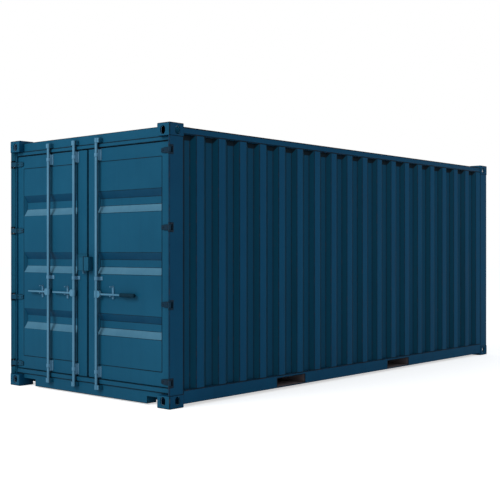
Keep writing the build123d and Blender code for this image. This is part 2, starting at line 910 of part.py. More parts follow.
def handle_catch(side, from_side, lift_room):
    """Round-ended plate on the leaf with a finger that carries the handle and a stop above."""
    y = side_y(side, from_side)
    x_leaf = door_x(leaf_front)
    seat = handle_level - handle_height / 2 - catch_seat_clearance
    stop = handle_level + handle_height / 2 + lift_room
    middle = stop + catch_finger_height + catch_end_margin - catch_height / 2
    plate = Pos(x_leaf - catch_plate / 2, y, middle) * Rot(0, 90, 0)
    outline = SlotOverall(catch_height, catch_width)
    catch = plate * extrude(outline, amount=catch_plate / 2, both=True)
    x_finger = (x_leaf - catch_finger_reach, x_leaf)
    y_finger = (y - catch_finger_width / 2, y + catch_finger_width / 2)
    for low in (seat - catch_finger_height, stop):
        catch += block(x_finger, y_finger, (low, low + catch_finger_height))
    return catch


def handle_catches(side, rods_from_side, from_rod, lift_room):
    """One catch for the handle of each rod on the leaf."""
    return Compound(children=[handle_catch(side, place - from_rod, lift_room) for place in rods_from_side])


def lock_box_half(side):
    """Half of the padlock box, open below, on one leaf beside the gap."""
    wall = lock_box_wall
    inner = side * lock_box_gap / 2
    outer = inner + side * lock_box_half_width
    x_leaf = door_x(leaf_front)
    top = lock_box_level + lock_box_height
    half = block((x_leaf - lock_box_depth, x_leaf), (inner, outer), (lock_box_level, top))
    hollow_y = (inner + side * wall, outer - side * wall)
    half -= block((x_leaf - lock_box_depth + wall, x_leaf), hollow_y, (lock_box_level, top - wall))
    return half


def lock_box_plate():
    """Plate on the left leaf that the box is welded to, past its outer side and its top."""
    inner = lock_box_gap / 2
    outer = inner + lock_box_half_width + lock_plate_reach
    x_leaf = door_x(leaf_front)
    top = lock_box_level + lock_box_height
    x_ends = (x_leaf - lock_plate_thickness, x_leaf)
    beside = (inner + lock_box_half_width - lock_box_wall, outer)
    plate = block(x_ends, beside, (lock_box_level, top))
    plate += block(x_ends, (inner, outer), (top - lock_box_wall, top + lock_plate_rise))
    return plate


def lock_staple():
    """Eye for the padlock, under the left half of the box."""
    x_leaf = door_x(leaf_front)
    centre = (lock_box_gap + lock_box_half_width) / 2 + lock_box_wall
    high = lock_box_level
    low = high - staple_height
    x_ends = (x_leaf - lock_box_depth / 2, x_leaf)
    plate_y = (centre - staple_thickness / 2, centre + staple_thickness / 2)
    plate = block(x_ends, plate_y, (low, high))
    hole_x = x_leaf - lock_box_depth / 2 + staple_hole_radius * 2
    hole = Pos(hole_x, centre, (low + high) / 2) * Rot(90, 0, 0)
    return plate - hole * Cylinder(staple_hole_radius, staple_width)


def add_leaf(name, side, inner_stile, rods_from_side, catch_from_rod, lift_room):
    """All fixed pieces of one door leaf."""
    nodes[f"{name}_door_frame"] = leaf_frame(side, inner_stile)
    nodes[f"{name}_door_panel"] = leaf_panel(side, inner_stile)
    nodes[f"{name}_door_gasket"] = leaf_gasket(side, inner_stile)
    nodes[f"{name}_hinge_blades"] = hinge_blades(side)
    nodes[f"{name}_rod_guides"] = rod_guides(side, rods_from_side)
    nodes[f"{name}_handle_catches"] = handle_catches(side, rods_from_side, catch_from_rod, lift_room)
    nodes[f"{name}_lock_box"] = lock_box_half(side)


def lock_rod(side, rod_from_side):
    """Lock rod with a cam at each end and the clevis for its handle."""
    x = door_x(rod_from_end)
    y = side_y(side, rod_from_side)
    rod = drum(rod_radius, x, y, (rod_bottom, rod_top))
    for low in (rod_bottom, rod_top - cam_height):
        z_ends = (low, low + cam_height)
        tip = y + side * (cam_reach - cam_thickness / 2)
        x_cam = (x - cam_thickness / 2, x + cam_thickness / 2)
        rod += drum(cam_hub_radius, x, y, z_ends)
        rod += block(x_cam, (y, tip), z_ends)
        rod += drum(cam_thickness / 2, x, tip, z_ends)
    half = clevis_height / 2
    z_clevis = (handle_level - half, handle_level + half)
    inside = handle_thickness / 2 + clevis_side_clearance
    outside = inside + clevis_wall
    hub = drum(clevis_hub_radius, x, y, z_clevis)
    rod += fillet(hub.edges().filter_by(GeomType.CIRCLE), clevis_round)
    reach = y + side * clevis_reach
    cheek_middle = y + side * (clevis_reach - half)
    cheek = block((x - outside, x + outside), (y, cheek_middle), z_clevis)
    cheek += Pos(x, cheek_middle, handle_level) * Rot(0, 90, 0) * Cylinder(half, 2 * outside)
    rod += cheek & block((x - outside, x + outside), (y, reach), z_clevis)
    start = y + side * clevis_hub_radius
    rod -= block((x - inside, x + inside), (start, reach), z_clevis)
    pivot = Pos(x, y + side * handle_pivot_from_rod, handle_level) * Rot(0, 90, 0)
    rod += pivot * Cylinder(handle_pivot_radius, 2 * outside)
    return rod


def handle_bar(side, rod_from_side, tang):
    """Flat forged handle with a pivot eye, tapering to a round end or to the tang of a grip."""
    x = door_x(rod_from_end)
    y = side_y(side, rod_from_side)
    pivot_y = y + side * handle_pivot_from_rod
    end_half = handle_end_height / 2
    end_y = y + side * (handle_reach - end_half)
    half = handle_height / 2
    points = [
        (pivot_y, handle_level - half),
        (end_y, handle_level - end_half),
        (end_y, handle_level + end_half),
        (pivot_y, handle_level + half),
    ]
    x_start = x - handle_thickness / 2
    x_end = x + handle_thickness / 2
    bar = lengthwise(points, x_start, x_end)
    eye = Pos(x, pivot_y, handle_level) * Rot(0, 90, 0)
    bar += eye * Cylinder(handle_eye_radius, handle_thickness)
    if tang:
        tang_y = (end_y, y + side * (handle_reach + grip_tang_length))
        bar += block((x_start, x_end), tang_y, (handle_level - end_half, handle_level + end_half))
    else:
        bar += Pos(x, end_y, handle_level) * Rot(0, 90, 0) * Cylinder(end_half, handle_thickness)
    bar -= eye * Cylinder(handle_pivot_radius + handle_pivot_clearance, 2 * handle_thickness)
    return bar


def handle_grip(side, rod_from_side):
    """Rubber sleeve with rounded ends, pushed over the tang of the handle."""
    x = door_x(rod_from_end)
    y = side_y(side, rod_from_side)
    middle = y + side * (handle_reach + grip_length / 2)
    sleeve = Cylinder(grip_radius, grip_length)
    sleeve = fillet(sleeve.edges().filter_by(GeomType.CIRCLE), grip_round)
    sleeve = Pos(x, middle, handle_level) * Rot(90, 0, 0) * sleeve
    x_ends = (x - handle_thickness / 2, x + handle_thickness / 2)
    tang_y = (y + side * (handle_reach - cut_overrun), y + side * (handle_reach + grip_tang_length))
    half = handle_end_height / 2
    return sleeve - block(x_ends, tang_y, (handle_level - half, handle_level + half))


def cam_keeper(side, rod_from_side, level):
    """Keeper with a cheek on each side of the cam, open to the outside."""
    y = side_y(side, rod_from_side)
    x_face = door_x(door_recess)
    z_ends = (level - keeper_height / 2, level + keeper_height / 2)
    near = cam_hub_radius + keeper_clearance
    far = cam_reach + keeper_clearance
    inner_foot = near + keeper_wall + keeper_foot
    outer_foot = far + keeper_wall + keeper_foot
    foot_ends = (y - side * inner_foot, y + side * outer_foot)
    keeper = block((x_face - keeper_plate, x_face), foot_ends, z_ends)
    inner_cheek = (y - side * near, y - side * (near + keeper_wall))
    outer_cheek = (y + side * far, y + side * (far + keeper_wall))
    for y_ends in (inner_cheek, outer_cheek):
        keeper += block((x_face - keeper_depth, x_face), y_ends, z_ends)
    return keeper


def cam_keepers():
    """One keeper for each cam, on the header and on the sill."""
    levels = (rod_bottom + cam_height / 2, rod_top - cam_height / 2)
    rods = ((LEFT, outer_rod_from_side), (LEFT, inner_rod_from_side), (RIGHT, inner_rod_from_side))
    keepers = []
    for side, place in rods:
        keepers.extend(cam_keeper(side, place, level) for level in levels)
    return Compound(children=keepers)


def add_doors():
    """Both leaves, their hinges, lock rods and handles, and the keepers."""
    left_rods = (outer_rod_from_side, inner_rod_from_side)
    right_rods = (inner_rod_from_side,)
    add_leaf("left", LEFT, left_inner_stile, left_rods, left_catch_from_rod, left_catch_lift_room)
    add_leaf("right", RIGHT, right_inner_stile, right_rods, right_catch_from_rod, right_catch_lift_room)
    nodes["left_hinge_lugs"] = hinge_lugs(LEFT)
    nodes["right_hinge_lugs"] = hinge_lugs(RIGHT)
    nodes["left_lock_box"] += lock_box_plate()
    nodes["lock_staple"] = lock_staple()
    nodes["cam_keepers"] = cam_keepers()
    nodes["outer_left_lock_rod"] = lock_rod(LEFT, outer_rod_from_side)
    nodes["inner_left_lock_rod"] = lock_rod(LEFT, inner_rod_from_side)
    nodes["right_lock_rod"] = lock_rod(RIGHT, inner_rod_from_side)
    nodes["outer_left_handle"] = handle_bar(LEFT, outer_rod_from_side, False)
    nodes["inner_left_handle"] = handle_bar(LEFT, inner_rod_from_side, False)
    nodes["right_handle"] = handle_bar(RIGHT, inner_rod_from_side, True)
    nodes["right_handle_grip"] = handle_grip(RIGHT, inner_rod_from_side)


def write_parts():
    """One STEP file for each node."""
    os.makedirs("parts", exist_ok=True)
    for name, shape in nodes.items():
        export_step(shape, f"parts/{name}.step")


add_castings()
add_posts()
add_side_rails()
add_door_end_frame()
add_front_end_frame()
add_base()
add_walls_and_roof()
add_doors()
write_parts()
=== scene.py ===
import bpy
import bmesh
import json
import math
from mathutils import Matrix, Vector

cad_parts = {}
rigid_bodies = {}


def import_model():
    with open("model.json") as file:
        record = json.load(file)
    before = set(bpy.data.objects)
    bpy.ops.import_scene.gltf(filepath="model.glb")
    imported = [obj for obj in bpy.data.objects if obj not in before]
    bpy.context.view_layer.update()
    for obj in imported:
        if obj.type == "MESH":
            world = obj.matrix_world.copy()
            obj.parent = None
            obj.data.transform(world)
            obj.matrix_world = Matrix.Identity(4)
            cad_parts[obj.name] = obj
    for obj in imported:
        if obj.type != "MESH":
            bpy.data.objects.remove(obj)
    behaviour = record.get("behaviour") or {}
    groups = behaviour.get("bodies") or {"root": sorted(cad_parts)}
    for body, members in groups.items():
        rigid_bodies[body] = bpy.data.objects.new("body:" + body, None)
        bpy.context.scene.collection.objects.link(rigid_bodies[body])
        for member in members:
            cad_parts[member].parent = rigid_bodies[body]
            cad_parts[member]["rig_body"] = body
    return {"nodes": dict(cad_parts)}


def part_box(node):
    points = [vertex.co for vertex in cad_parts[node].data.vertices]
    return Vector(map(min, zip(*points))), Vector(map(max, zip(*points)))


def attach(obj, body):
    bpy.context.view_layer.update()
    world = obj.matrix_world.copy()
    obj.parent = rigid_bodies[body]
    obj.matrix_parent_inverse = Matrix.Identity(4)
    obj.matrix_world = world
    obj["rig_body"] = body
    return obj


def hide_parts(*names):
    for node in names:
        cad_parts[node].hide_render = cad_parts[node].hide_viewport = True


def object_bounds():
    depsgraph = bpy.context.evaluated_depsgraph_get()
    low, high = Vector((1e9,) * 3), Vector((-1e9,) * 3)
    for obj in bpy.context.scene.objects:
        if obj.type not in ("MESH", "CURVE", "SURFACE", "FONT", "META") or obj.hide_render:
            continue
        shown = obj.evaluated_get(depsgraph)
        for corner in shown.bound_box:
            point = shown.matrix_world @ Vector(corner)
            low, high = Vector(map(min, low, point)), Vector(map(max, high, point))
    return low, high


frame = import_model()
solid_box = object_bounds()
nodes = frame["nodes"]

# Studio: a white floor and backdrop, a soft lamp high over the doors, a wide weak lamp
# before the long side and a pale sky. The camera stands level, off the corner between
# the doors and the right side, as the picture was drawn.
camera_place = (-8.953, -7.355, 1.436)
camera_turn = math.radians(41.155)
camera_lens_mm = 68.2
floor_reach = 60.0
floor_white = (0.93, 0.94, 0.95, 1.0)
floor_glow = 0.6
floor_roughness = 0.9
backdrop_white = (1.0, 1.0, 1.0, 1.0)
sky_colour = (0.93, 0.97, 1.0, 1.0)
sky_strength = 0.45
door_lamp = {"place": (-12.0, 2.0, 8.0), "size": 6.0, "watts": 760.0}
side_lamp = {"place": (4.0, -13.0, 8.0), "size": 8.0, "watts": 350.0}
lamp_aim = (0.0, 0.0, 1.0)


def add_camera():
    """A level camera. Its turn is the direction of view, measured from the X axis."""
    data = bpy.data.cameras.new("camera")
    data.lens = camera_lens_mm
    camera = bpy.data.objects.new("camera", data)
    camera.location = camera_place
    camera.rotation_euler = (math.pi / 2, 0, camera_turn - math.pi / 2)
    bpy.context.scene.collection.objects.link(camera)
    bpy.context.scene.camera = camera


def add_lamp(name, place, size, watts):
    """A square soft lamp, turned to the container."""
    data = bpy.data.lights.new(name, "AREA")
    data.size = size
    data.energy = watts
    lamp = bpy.data.objects.new(name, data)
    lamp.location = place
    aim = Vector(lamp_aim) - Vector(place)
    lamp.rotation_euler = aim.to_track_quat("-Z", "Y").to_euler()
    bpy.context.scene.collection.objects.link(lamp)


def add_sky():
    """A pale light from all round, before a backdrop that the camera sees as white."""
    world = bpy.data.worlds.new("studio")
    bpy.context.scene.world = world
    world.use_nodes = True
    tree = world.node_tree
    light = tree.nodes["Background"]
    light.inputs["Color"].default_value = sky_colour
    light.inputs["Strength"].default_value = sky_strength
    white = tree.nodes.new("ShaderNodeBackground")
    white.inputs["Color"].default_value = backdrop_white
    paths = tree.nodes.new("ShaderNodeLightPath")
    mix = tree.nodes.new("ShaderNodeMixShader")
    tree.links.new(paths.outputs["Is Camera Ray"], mix.inputs["Fac"])
    tree.links.new(light.outputs["Background"], mix.inputs[1])
    tree.links.new(white.outputs["Background"], mix.inputs[2])
    tree.links.new(mix.outputs["Shader"], tree.nodes["World Output"].inputs["Surface"])


def floor_finish():
    """White that glows a little to the camera, so that the floor runs into the backdrop."""
    material = bpy.data.materials.new("studio_floor")
    material.use_nodes = True
    tree = material.node_tree
    shader = tree.nodes["Principled BSDF"]
    shader.inputs["Base Color"].default_value = floor_white
    shader.inputs["Roughness"].default_value = floor_roughness
    glow = tree.nodes.new("ShaderNodeEmission")
    paths = tree.nodes.new("ShaderNodeLightPath")
    share = tree.nodes.new("ShaderNodeMath")
    share.operation = "MULTIPLY"
    share.inputs[1].default_value = floor_glow
    both = tree.nodes.new("ShaderNodeAddShader")
    tree.links.new(paths.outputs["Is Camera Ray"], share.inputs[0])
    tree.links.new(share.outputs["Value"], glow.inputs["Strength"])
    tree.links.new(shader.outputs["BSDF"], both.inputs[0])
    tree.links.new(glow.outputs["Emission"], both.inputs[1])
    tree.links.new(both.outputs["Shader"], tree.nodes["Material Output"].inputs["Surface"])
    return material


def add_floor():
    """One wide level face under the container."""
    shape = bmesh.new()
    bmesh.ops.create_grid(shape, x_segments=1, y_segments=1, size=floor_reach)
    mesh = bpy.data.meshes.new("studio_floor")
    shape.to_mesh(mesh)
    shape.free()
    mesh.materials.append(floor_finish())
    floor = bpy.data.objects.new("studio_floor", mesh)
    bpy.context.scene.collection.objects.link(floor)


bpy.context.scene.view_settings.view_transform = "Standard"
add_camera()
add_lamp("door_lamp", **door_lamp)
add_lamp("side_lamp", **side_lamp)
add_sky()
add_floor()


# Corner castings: eight hollow blocks of cast steel with oblong holes. They are sand cast,
# fettled and welded to the posts and rails, then painted with the rest. Hooks and twist
# locks wear their paint off round the holes.
end_x, side_y, top_z = solid_box[1]
casting_length = 0.178
casting_width = 0.162
casting_height = 0.118
casting_edge = 0.003
casting_round = 0.008
hollow_wall = 0.012
# Paints and dirt
# The doors' paint is lighter than the frame's partly as painted light: faces that look to the door end take
# it, and the frame's darker paint is partly painted shade on the sides.
door_paint = (18, 78, 106)
door_faded = (26, 89, 118)
frame_paint = (4, 64, 96)
frame_faded = (12, 76, 108)
# Painted light: the walls of the castings' hollows, where little light reaches, are painted light.
hollow_back_painted_light = (84, 134, 164)
hollow_side_painted_light = (150, 196, 224)
grime_colour = (10, 20, 28)
bare_steel = (70, 52, 46)
streak_stretch = (8.0, 8.0, 0.42)
# Gloss and relief
paint_shine = 0.06
paint_roughness = (0.42, 0.56)
chip_roughness = 0.25
streak_roughness = 0.2
peel_height = 0.05
wave_height = 1.1
chip_depth = 0.12
sand_height = 0.5
grain_bump = 0.001
# Where one paint meets another
facing_from = 0.6
facing_full = 0.8
mask_blur = 0.002
channel_back = 0.052
channel_blur = 0.004
# Rounded edges and the strips beside them
merge_reach = 0.00003
flat_angle = 0.5
edge_strip = 0.006
strip_slack = 1.3
cut_step = 0.004
one_side = (0.9, 0.5, 0.3)
flat_from = 0.012
sharp_over = 35.0


def linear(red, green, blue):
    """A colour read from the picture, 0 to 255, as the shader wants it."""
    channels = []
    for value in (red, green, blue):
        share = value / 255
        channels.append(share / 12.92 if share <= 0.04045 else ((share + 0.055) / 1.055) ** 2.4)
    return (*channels, 1.0)


def place(tree, kind, sockets=None, **settings):
    """Adds a shader node. Its sockets are filled with values or with links."""
    made = tree.nodes.new("ShaderNode" + kind)
    for key, value in settings.items():
        setattr(made, key, value)
    for key, value in (sockets or {}).items():
        if isinstance(value, bpy.types.NodeSocket):
            tree.links.new(value, made.inputs[key])
        else:
            made.inputs[key].default_value = value
    return made


def new_group(name, inputs, outputs):
    """An empty shader group with named sockets, and its two end nodes."""
    group = bpy.data.node_groups.new(name, "ShaderNodeTree")
    for label, kind, value in inputs:
        socket = group.interface.new_socket(label, in_out="INPUT", socket_type="NodeSocket" + kind)
        socket.default_value = value
    for label, kind in outputs:
        group.interface.new_socket(label, in_out="OUTPUT", socket_type="NodeSocket" + kind)
    return group, group.nodes.new("NodeGroupInput"), group.nodes.new("NodeGroupOutput")


def ramp(tree, value, low, high, start=0.0, end=1.0):
    """A value cut off below low and above high, spread from start to end."""
    sockets = {"Value": value, "From Min": low, "From Max": high, "To Min": start, "To Max": end}
    return place(tree, "MapRange", sockets).outputs["Result"]


def noise(tree, where, scale, detail, roughness=0.58):
    """A noise pattern. Its scale is about its patches to a metre, its detail the finer layers."""
    sockets = {"Vector": where, "Scale": scale, "Detail": detail, "Roughness": roughness}
    return place(tree, "TexNoise", sockets).outputs["Fac"]


def times(tree, first, second):
    return place(tree, "Math", {0: first, 1: second}, operation="MULTIPLY").outputs["Value"]


def plus(tree, first, second):
    return place(tree, "Math", {0: first, 1: second}, operation="ADD").outputs["Value"]


def size_of(tree, value):
    """A value without its sign."""
    return place(tree, "Math", {0: value}, operation="ABSOLUTE").outputs["Value"]


def blended(tree, share, first, second):
    """The first colour with a share of the second. The node's colour sockets are 6, 7 and 2."""
    return place(tree, "Mix", {0: share, 6: first, 7: second}, data_type="RGBA").outputs[2]


def streak_mask(tree, where):
    """Long runs of rain down the paint, in some places more than in others."""
    run_down = place(tree, "Mapping", {"Vector": where, "Scale": streak_stretch}).outputs["Vector"]
    streak = ramp(tree, noise(tree, run_down, 1.4, 7.0), 0.5, 0.8)
    patch = ramp(tree, noise(tree, where, 0.8, 2.0), 0.38, 0.6)
    return times(tree, streak, patch)


def chip_mask(tree, where, edge):
    """Chips down to the steel: specks in patches, and larger ones along the edges."""
    speck = ramp(tree, noise(tree, where, 34.0, 5.0), 0.665, 0.69)
    speck = times(tree, speck, ramp(tree, noise(tree, where, 2.6, 3.0), 0.48, 0.62))
    rubbed = times(tree, edge, ramp(tree, noise(tree, where, 17.0, 6.0), 0.57, 0.62))
    return place(tree, "Math", {0: speck, 1: rubbed}, operation="MAXIMUM").outputs["Value"]


def paint_relief(tree, where, chip):
    """The fine peel of sprayed paint, the slow waves of its sheet and the sunken chips."""
    peel = times(tree, noise(tree, where, 520.0, 2.0), peel_height)
    waves = times(tree, noise(tree, where, 2.4, 2.0), wave_height)
    return plus(tree, plus(tree, peel, waves), times(tree, chip, -chip_depth))


def make_weather_group():
    """Fading, rain streaks, chips and dirt along edges, for paint that stands outdoors."""
    inputs = (
        ("Paint", "Color", linear(*frame_paint)),
        ("Faded", "Color", linear(*frame_faded)),
        ("Grime", "Color", linear(*grime_colour)),
        ("Bare", "Color", linear(*bare_steel)),
        ("Fading", "Float", 0.5),
        ("Streaks", "Float", 0.4),
        ("Chips", "Float", 0.4),
        ("Edges", "Float", 0.6),
    )
    outputs = (("Colour", "Color"), ("Roughness", "Float"), ("Height", "Float"))
    tree, ins, outs = new_group("outdoor_weather", inputs, outputs)
    where = place(tree, "TexCoord").outputs["Object"]
    edge = place(tree, "Attribute", attribute_name="rim").outputs["Fac"]
    broad = ramp(tree, noise(tree, where, 1.3, 5.0), 0.36, 0.66)
    streak = times(tree, streak_mask(tree, where), ins.outputs["Streaks"])
    broken = ramp(tree, noise(tree, where, 11.0, 5.0), 0.34, 0.58, 0.7, 1.0)
    edge_dirt = times(tree, times(tree, edge, broken), ins.outputs["Edges"])
    chip = times(tree, chip_mask(tree, where, edge), ins.outputs["Chips"])
    fading = times(tree, broad, ins.outputs["Fading"])
    colour = blended(tree, fading, ins.outputs["Paint"], ins.outputs["Faded"])
    for share, tint in ((streak, "Grime"), (edge_dirt, "Grime"), (chip, "Bare")):
        colour = blended(tree, share, colour, ins.outputs[tint])
    rough = ramp(tree, broad, 0.0, 1.0, *paint_roughness)
    rough = plus(tree, rough, times(tree, chip, chip_roughness))
    rough = plus(tree, rough, times(tree, streak, streak_roughness))
    tree.links.new(colour, outs.inputs["Colour"])
    tree.links.new(rough, outs.inputs["Roughness"])
    tree.links.new(paint_relief(tree, where, chip), outs.inputs["Height"])
    return tree


weather = make_weather_group()


def new_material(name):
    """A material with its tree and shader, and the low shine that all the finishes have."""
    material = bpy.data.materials.new(name)
    material.use_nodes = True
    tree = material.node_tree
    shader = tree.nodes["Principled BSDF"]
    shader.inputs["Specular IOR Level"].default_value = paint_shine
    return material, tree, shader


def join_shader(tree, shader, colour, roughness, height, distance):
    """Leads a finish into its shader. The height times the distance is the bumps' relief."""
    tree.links.new(colour, shader.inputs["Base Color"])
    tree.links.new(roughness, shader.inputs["Roughness"])
    relief = place(tree, "Bump", {"Height": height, "Distance": distance, "Strength": 1.0})
    tree.links.new(relief.outputs["Normal"], shader.inputs["Normal"])


def weathered(tree, paint, faded, fading, streaks, chips, edges):
    """The weather group with one coat's colours and amounts."""
    coat = tree.nodes.new("ShaderNodeGroup")
    coat.node_tree = weather
    colours = {"Paint": paint, "Faded": faded, "Grime": grime_colour, "Bare": bare_steel}
    for key, colour in colours.items():
        coat.inputs[key].default_value = linear(*colour)
    amounts = {"Fading": fading, "Streaks": streaks, "Chips": chips, "Edges": edges}
    for key, amount in amounts.items():
        coat.inputs[key].default_value = amount
    return coat


def facing_minus(tree, axis):
    """1 on faces that look to the minus end of an axis of the piece's own frame."""
    facing = place(tree, "TexCoord").outputs["Normal"]
    share = place(tree, "SeparateXYZ", {"Vector": facing}).outputs[axis]
    return ramp(tree, share, -facing_from, -facing_full)


def paint_light_by_facing(tree, coat, inner_painted_light=frame_paint):
    """Painted light: the doors' lighter paint on the faces that look to the door end, the frame's paint on
    the others.

    Faces by the door end that look to the right may take painted light of their own.
    """
    share = facing_minus(tree, "X")
    where = place(tree, "TexCoord").outputs["Object"]
    along = place(tree, "SeparateXYZ", {"Vector": where}).outputs["X"]
    limit = channel_back - end_x
    inner = times(tree, facing_minus(tree, "Y"), ramp(tree, along, limit + channel_blur, limit))
    paint = blended(tree, inner, linear(*frame_paint), linear(*inner_painted_light))
    tree.links.new(blended(tree, share, paint, linear(*door_paint)), coat.inputs["Paint"])
    tree.links.new(blended(tree, share, paint, linear(*door_faded)), coat.inputs["Faded"])


def within(tree, value, limit, size):
    """1 on places between the inner sides of two casting walls, measured along one axis."""
    reach = size_of(tree, value)
    outer = limit - hollow_wall
    inner = limit - size + hollow_wall
    below = ramp(tree, reach, outer + mask_blur, outer)
    return times(tree, below, ramp(tree, reach, inner - mask_blur, inner))


def inside_casting(tree, where):
    """1 on the walls of the castings' hollows."""
    middle = top_z / 2
    split = place(tree, "SeparateXYZ", {"Vector": where})
    level = place(tree, "Math", {0: split.outputs["Z"], 1: middle}, operation="SUBTRACT").outputs["Value"]
    along = within(tree, split.outputs["X"], end_x, casting_length)
    across = within(tree, split.outputs["Y"], side_y, casting_width)
    return times(tree, times(tree, along, across), within(tree, level, middle, casting_height))


def mark_rounds(shape):
    """Dirt also marks the faces of the rounded outer edges, each close to two outer sides."""
    rim = shape.faces.layers.float["rim"]
    places = [vert.co for vert in shape.verts]
    low = [min(spot[axis] for spot in places) for axis in range(3)]
    high = [max(spot[axis] for spot in places) for axis in range(3)]
    for face in shape.faces:
        spot = face.calc_center_median()
        gaps = [min(spot[axis] - low[axis], high[axis] - spot[axis]) for axis in range(3)]
        if sum(gap < casting_round for gap in gaps) > 1:
            face[rim] = 1.0


def casting_finish():
    """The frame's and the doors' paint over rough cast steel, the doors' lighter one as painted light on
    faces that look to the door end, and painted light on the walls of the hollows.
    """
    material, tree, shader = new_material("cast_steel_paint")
    coat = weathered(tree, frame_paint, frame_faded, fading=0.5, streaks=0.2, chips=0.5, edges=0.9)
    paint_light_by_facing(tree, coat)
    where = place(tree, "TexCoord").outputs["Object"]
    # Painted light in the hollows: lightest on the walls that don't look to the door end.
    hollow = blended(tree, facing_minus(tree, "X"), linear(*hollow_side_painted_light), linear(*hollow_back_painted_light))
    colour = blended(tree, inside_casting(tree, where), coat.outputs["Colour"], hollow)
    sand = times(tree, noise(tree, where, 190.0, 3.0), sand_height)
    height = plus(tree, coat.outputs["Height"], sand)
    join_shader(tree, shader, colour, coat.outputs["Roughness"], height, grain_bump)
    return material


def add_piece(name, data, body, material):
    """A new object in one material, which rides on a body."""
    piece = bpy.data.objects.new(name, data)
    bpy.context.scene.collection.objects.link(piece)
    data.materials.append(material)
    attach(piece, body)
    return piece


def finish_piece(shape, name, body, material, stands_for=()):
    """A finished mesh becomes a piece that rides on its body. Its wide faces stay flat."""
    for face in shape.faces:
        face.smooth = 2 * face.calc_area() < flat_from * face.calc_perimeter()
    mesh = bpy.data.meshes.new(name)
    shape.to_mesh(mesh)
    shape.free()
    mesh.set_sharp_from_angle(angle=math.radians(sharp_over))
    piece = add_piece(name, mesh, body, material)
    if stands_for:
        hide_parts(*stands_for)


def sharp_edges(shape, corner, widest):
    """Edges whose two faces turn by more than one angle and less than the other, in degrees."""
    low, high = math.radians(corner), math.radians(widest)
    return [edge for edge in shape.edges if edge.is_manifold and low < edge.calc_face_angle() < high]


def cut_strips(shape, sharp, strip):
    """Cuts the flats with a plane one strip inside each face at a sharp edge.

    Faces narrower than about half a strip don't give a plane, and each plane cuts once.
    """
    cuts = {}
    for edge in sharp:
        for face in edge.link_faces:
            if 4 * face.calc_area() < strip * face.calc_perimeter():
                continue
            way = face.normal.copy()
            spot = edge.verts[0].co - way * (strip if edge.is_convex else -strip)
            if way.dot(one_side) < 0:
                way.negate()
            key = (round(way.x, 1), round(way.y, 1), round(way.z, 1), round(spot.dot(way) / cut_step))
            cuts[key] = (spot, way)
    for spot, way in cuts.values():
        everything = shape.verts[:] + shape.edges[:] + shape.faces[:]
        bmesh.ops.bisect_plane(shape, geom=everything, dist=cut_step / 2, plane_co=spot, plane_no=way)


def off_line(edge, spot):
    """How far a place is from the line of an edge."""
    start = edge.verts[0].co
    along = (edge.verts[1].co - start).normalized()
    return ((spot - start) - along * (spot - start).dot(along)).length


def mark_strips(shape, sharp, strip):
    """Marks the faces that lie within a strip beside a sharp edge."""
    rim = shape.faces.layers.float["rim"]
    for edge in sharp:
        for face in edge.link_faces:
            if max(off_line(edge, vert.co) for vert in face.verts) < strip * strip_slack:
                face[rim] = 1.0


def soften(node, radius, material, segments=2, corner=25.0, widest=180.0, strip=edge_strip, reshape=None):
    """A copy of a node's solid, merged, with its edges between two angles rounded.

    The rounded edges and the strips beside them are marked for the dirt that gathers there.
    A reshape is a function that moves the copy's points or marks its faces first.
    """
    shape = bmesh.new()
    rim = shape.faces.layers.float.new("rim")
    shape.from_mesh(nodes[node].data)
    bmesh.ops.remove_doubles(shape, verts=shape.verts, dist=merge_reach)
    bmesh.ops.dissolve_limit(shape, angle_limit=math.radians(flat_angle), verts=shape.verts,
                             edges=shape.edges)
    shape.normal_update()
    if reshape:
        reshape(shape)
    sharp = sharp_edges(shape, corner, widest)
    if strip:
        cut_strips(shape, sharp, strip)
        sharp = sharp_edges(shape, corner, widest)
        mark_strips(shape, sharp, strip)
    made = bmesh.ops.bevel(shape, geom=sharp, offset=radius, offset_type="OFFSET", segments=segments,
                           profile=0.5, affect="EDGES", clamp_overlap=True, material=-1)
    for face in made["faces"]:
        face[rim] = 1.0
    body = nodes[node]["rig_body"]
    finish_piece(shape, node + "_finished", body, material, (node,))


def lay_beads(name, runs, radius, body, material):
    """Weld beads as one piece: a round bead along each run of points."""
    curve = bpy.data.curves.new(name, "CURVE")
    curve.dimensions = "3D"
    curve.bevel_depth = radius
    curve.bevel_resolution = 1
    curve.use_fill_caps = True
    for places in runs:
        spline = curve.splines.new("POLY")
        spline.points.add(len(places) - 1)
        for point, spot in zip(spline.points, places):
            point.co = (*spot, 1.0)
    add_piece(name, curve, body, material)


cast_steel = casting_finish()
casting_names = [f"{end}_{side}_{level}_casting" for end in ("door", "front")
                 for side in ("left", "right") for level in ("bottom", "top")]
for name in casting_names:
    soften(name, casting_edge, cast_steel, strip=0, reshape=mark_rounds)


# Posts, rails, header and sill: rolled and pressed steel sections, welded into the frame
# that carries the load. They have the container's own paint, and dirt lines every edge.
# Painted light: the left door post's channel, in the shade of the leaf, takes a light paint.
channel_painted_light = (40, 114, 142)
seam_paint = (12, 30, 40)
seam_rust = (46, 38, 36)
seam_roughness = (0.55, 0.85)
plate_edge = 0.0022
post_strip = 0.005
rail_strip = 0.008
lip_strip = 0.005
rail_edge = 0.0012
sheet_ripple = 0.001
face_setback = 0.005
lip_from_side = 0.024
post_face_x = end_x - face_setback
post_face_y = side_y - face_setback
post_end_x = end_x - casting_length
lip_inner_y = side_y - lip_from_side
front_post_inner_y = side_y - casting_width
casting_levels = (casting_height, top_z - casting_height)
frame_bead = 0.004
lip_bead = 0.004


def join_coat(tree, shader, coat, colour):
    """Leads a coat of paint on rolled steel into its shader, in its colour or one made from it."""
    join_shader(tree, shader, colour, coat.outputs["Roughness"], coat.outputs["Height"], sheet_ripple)


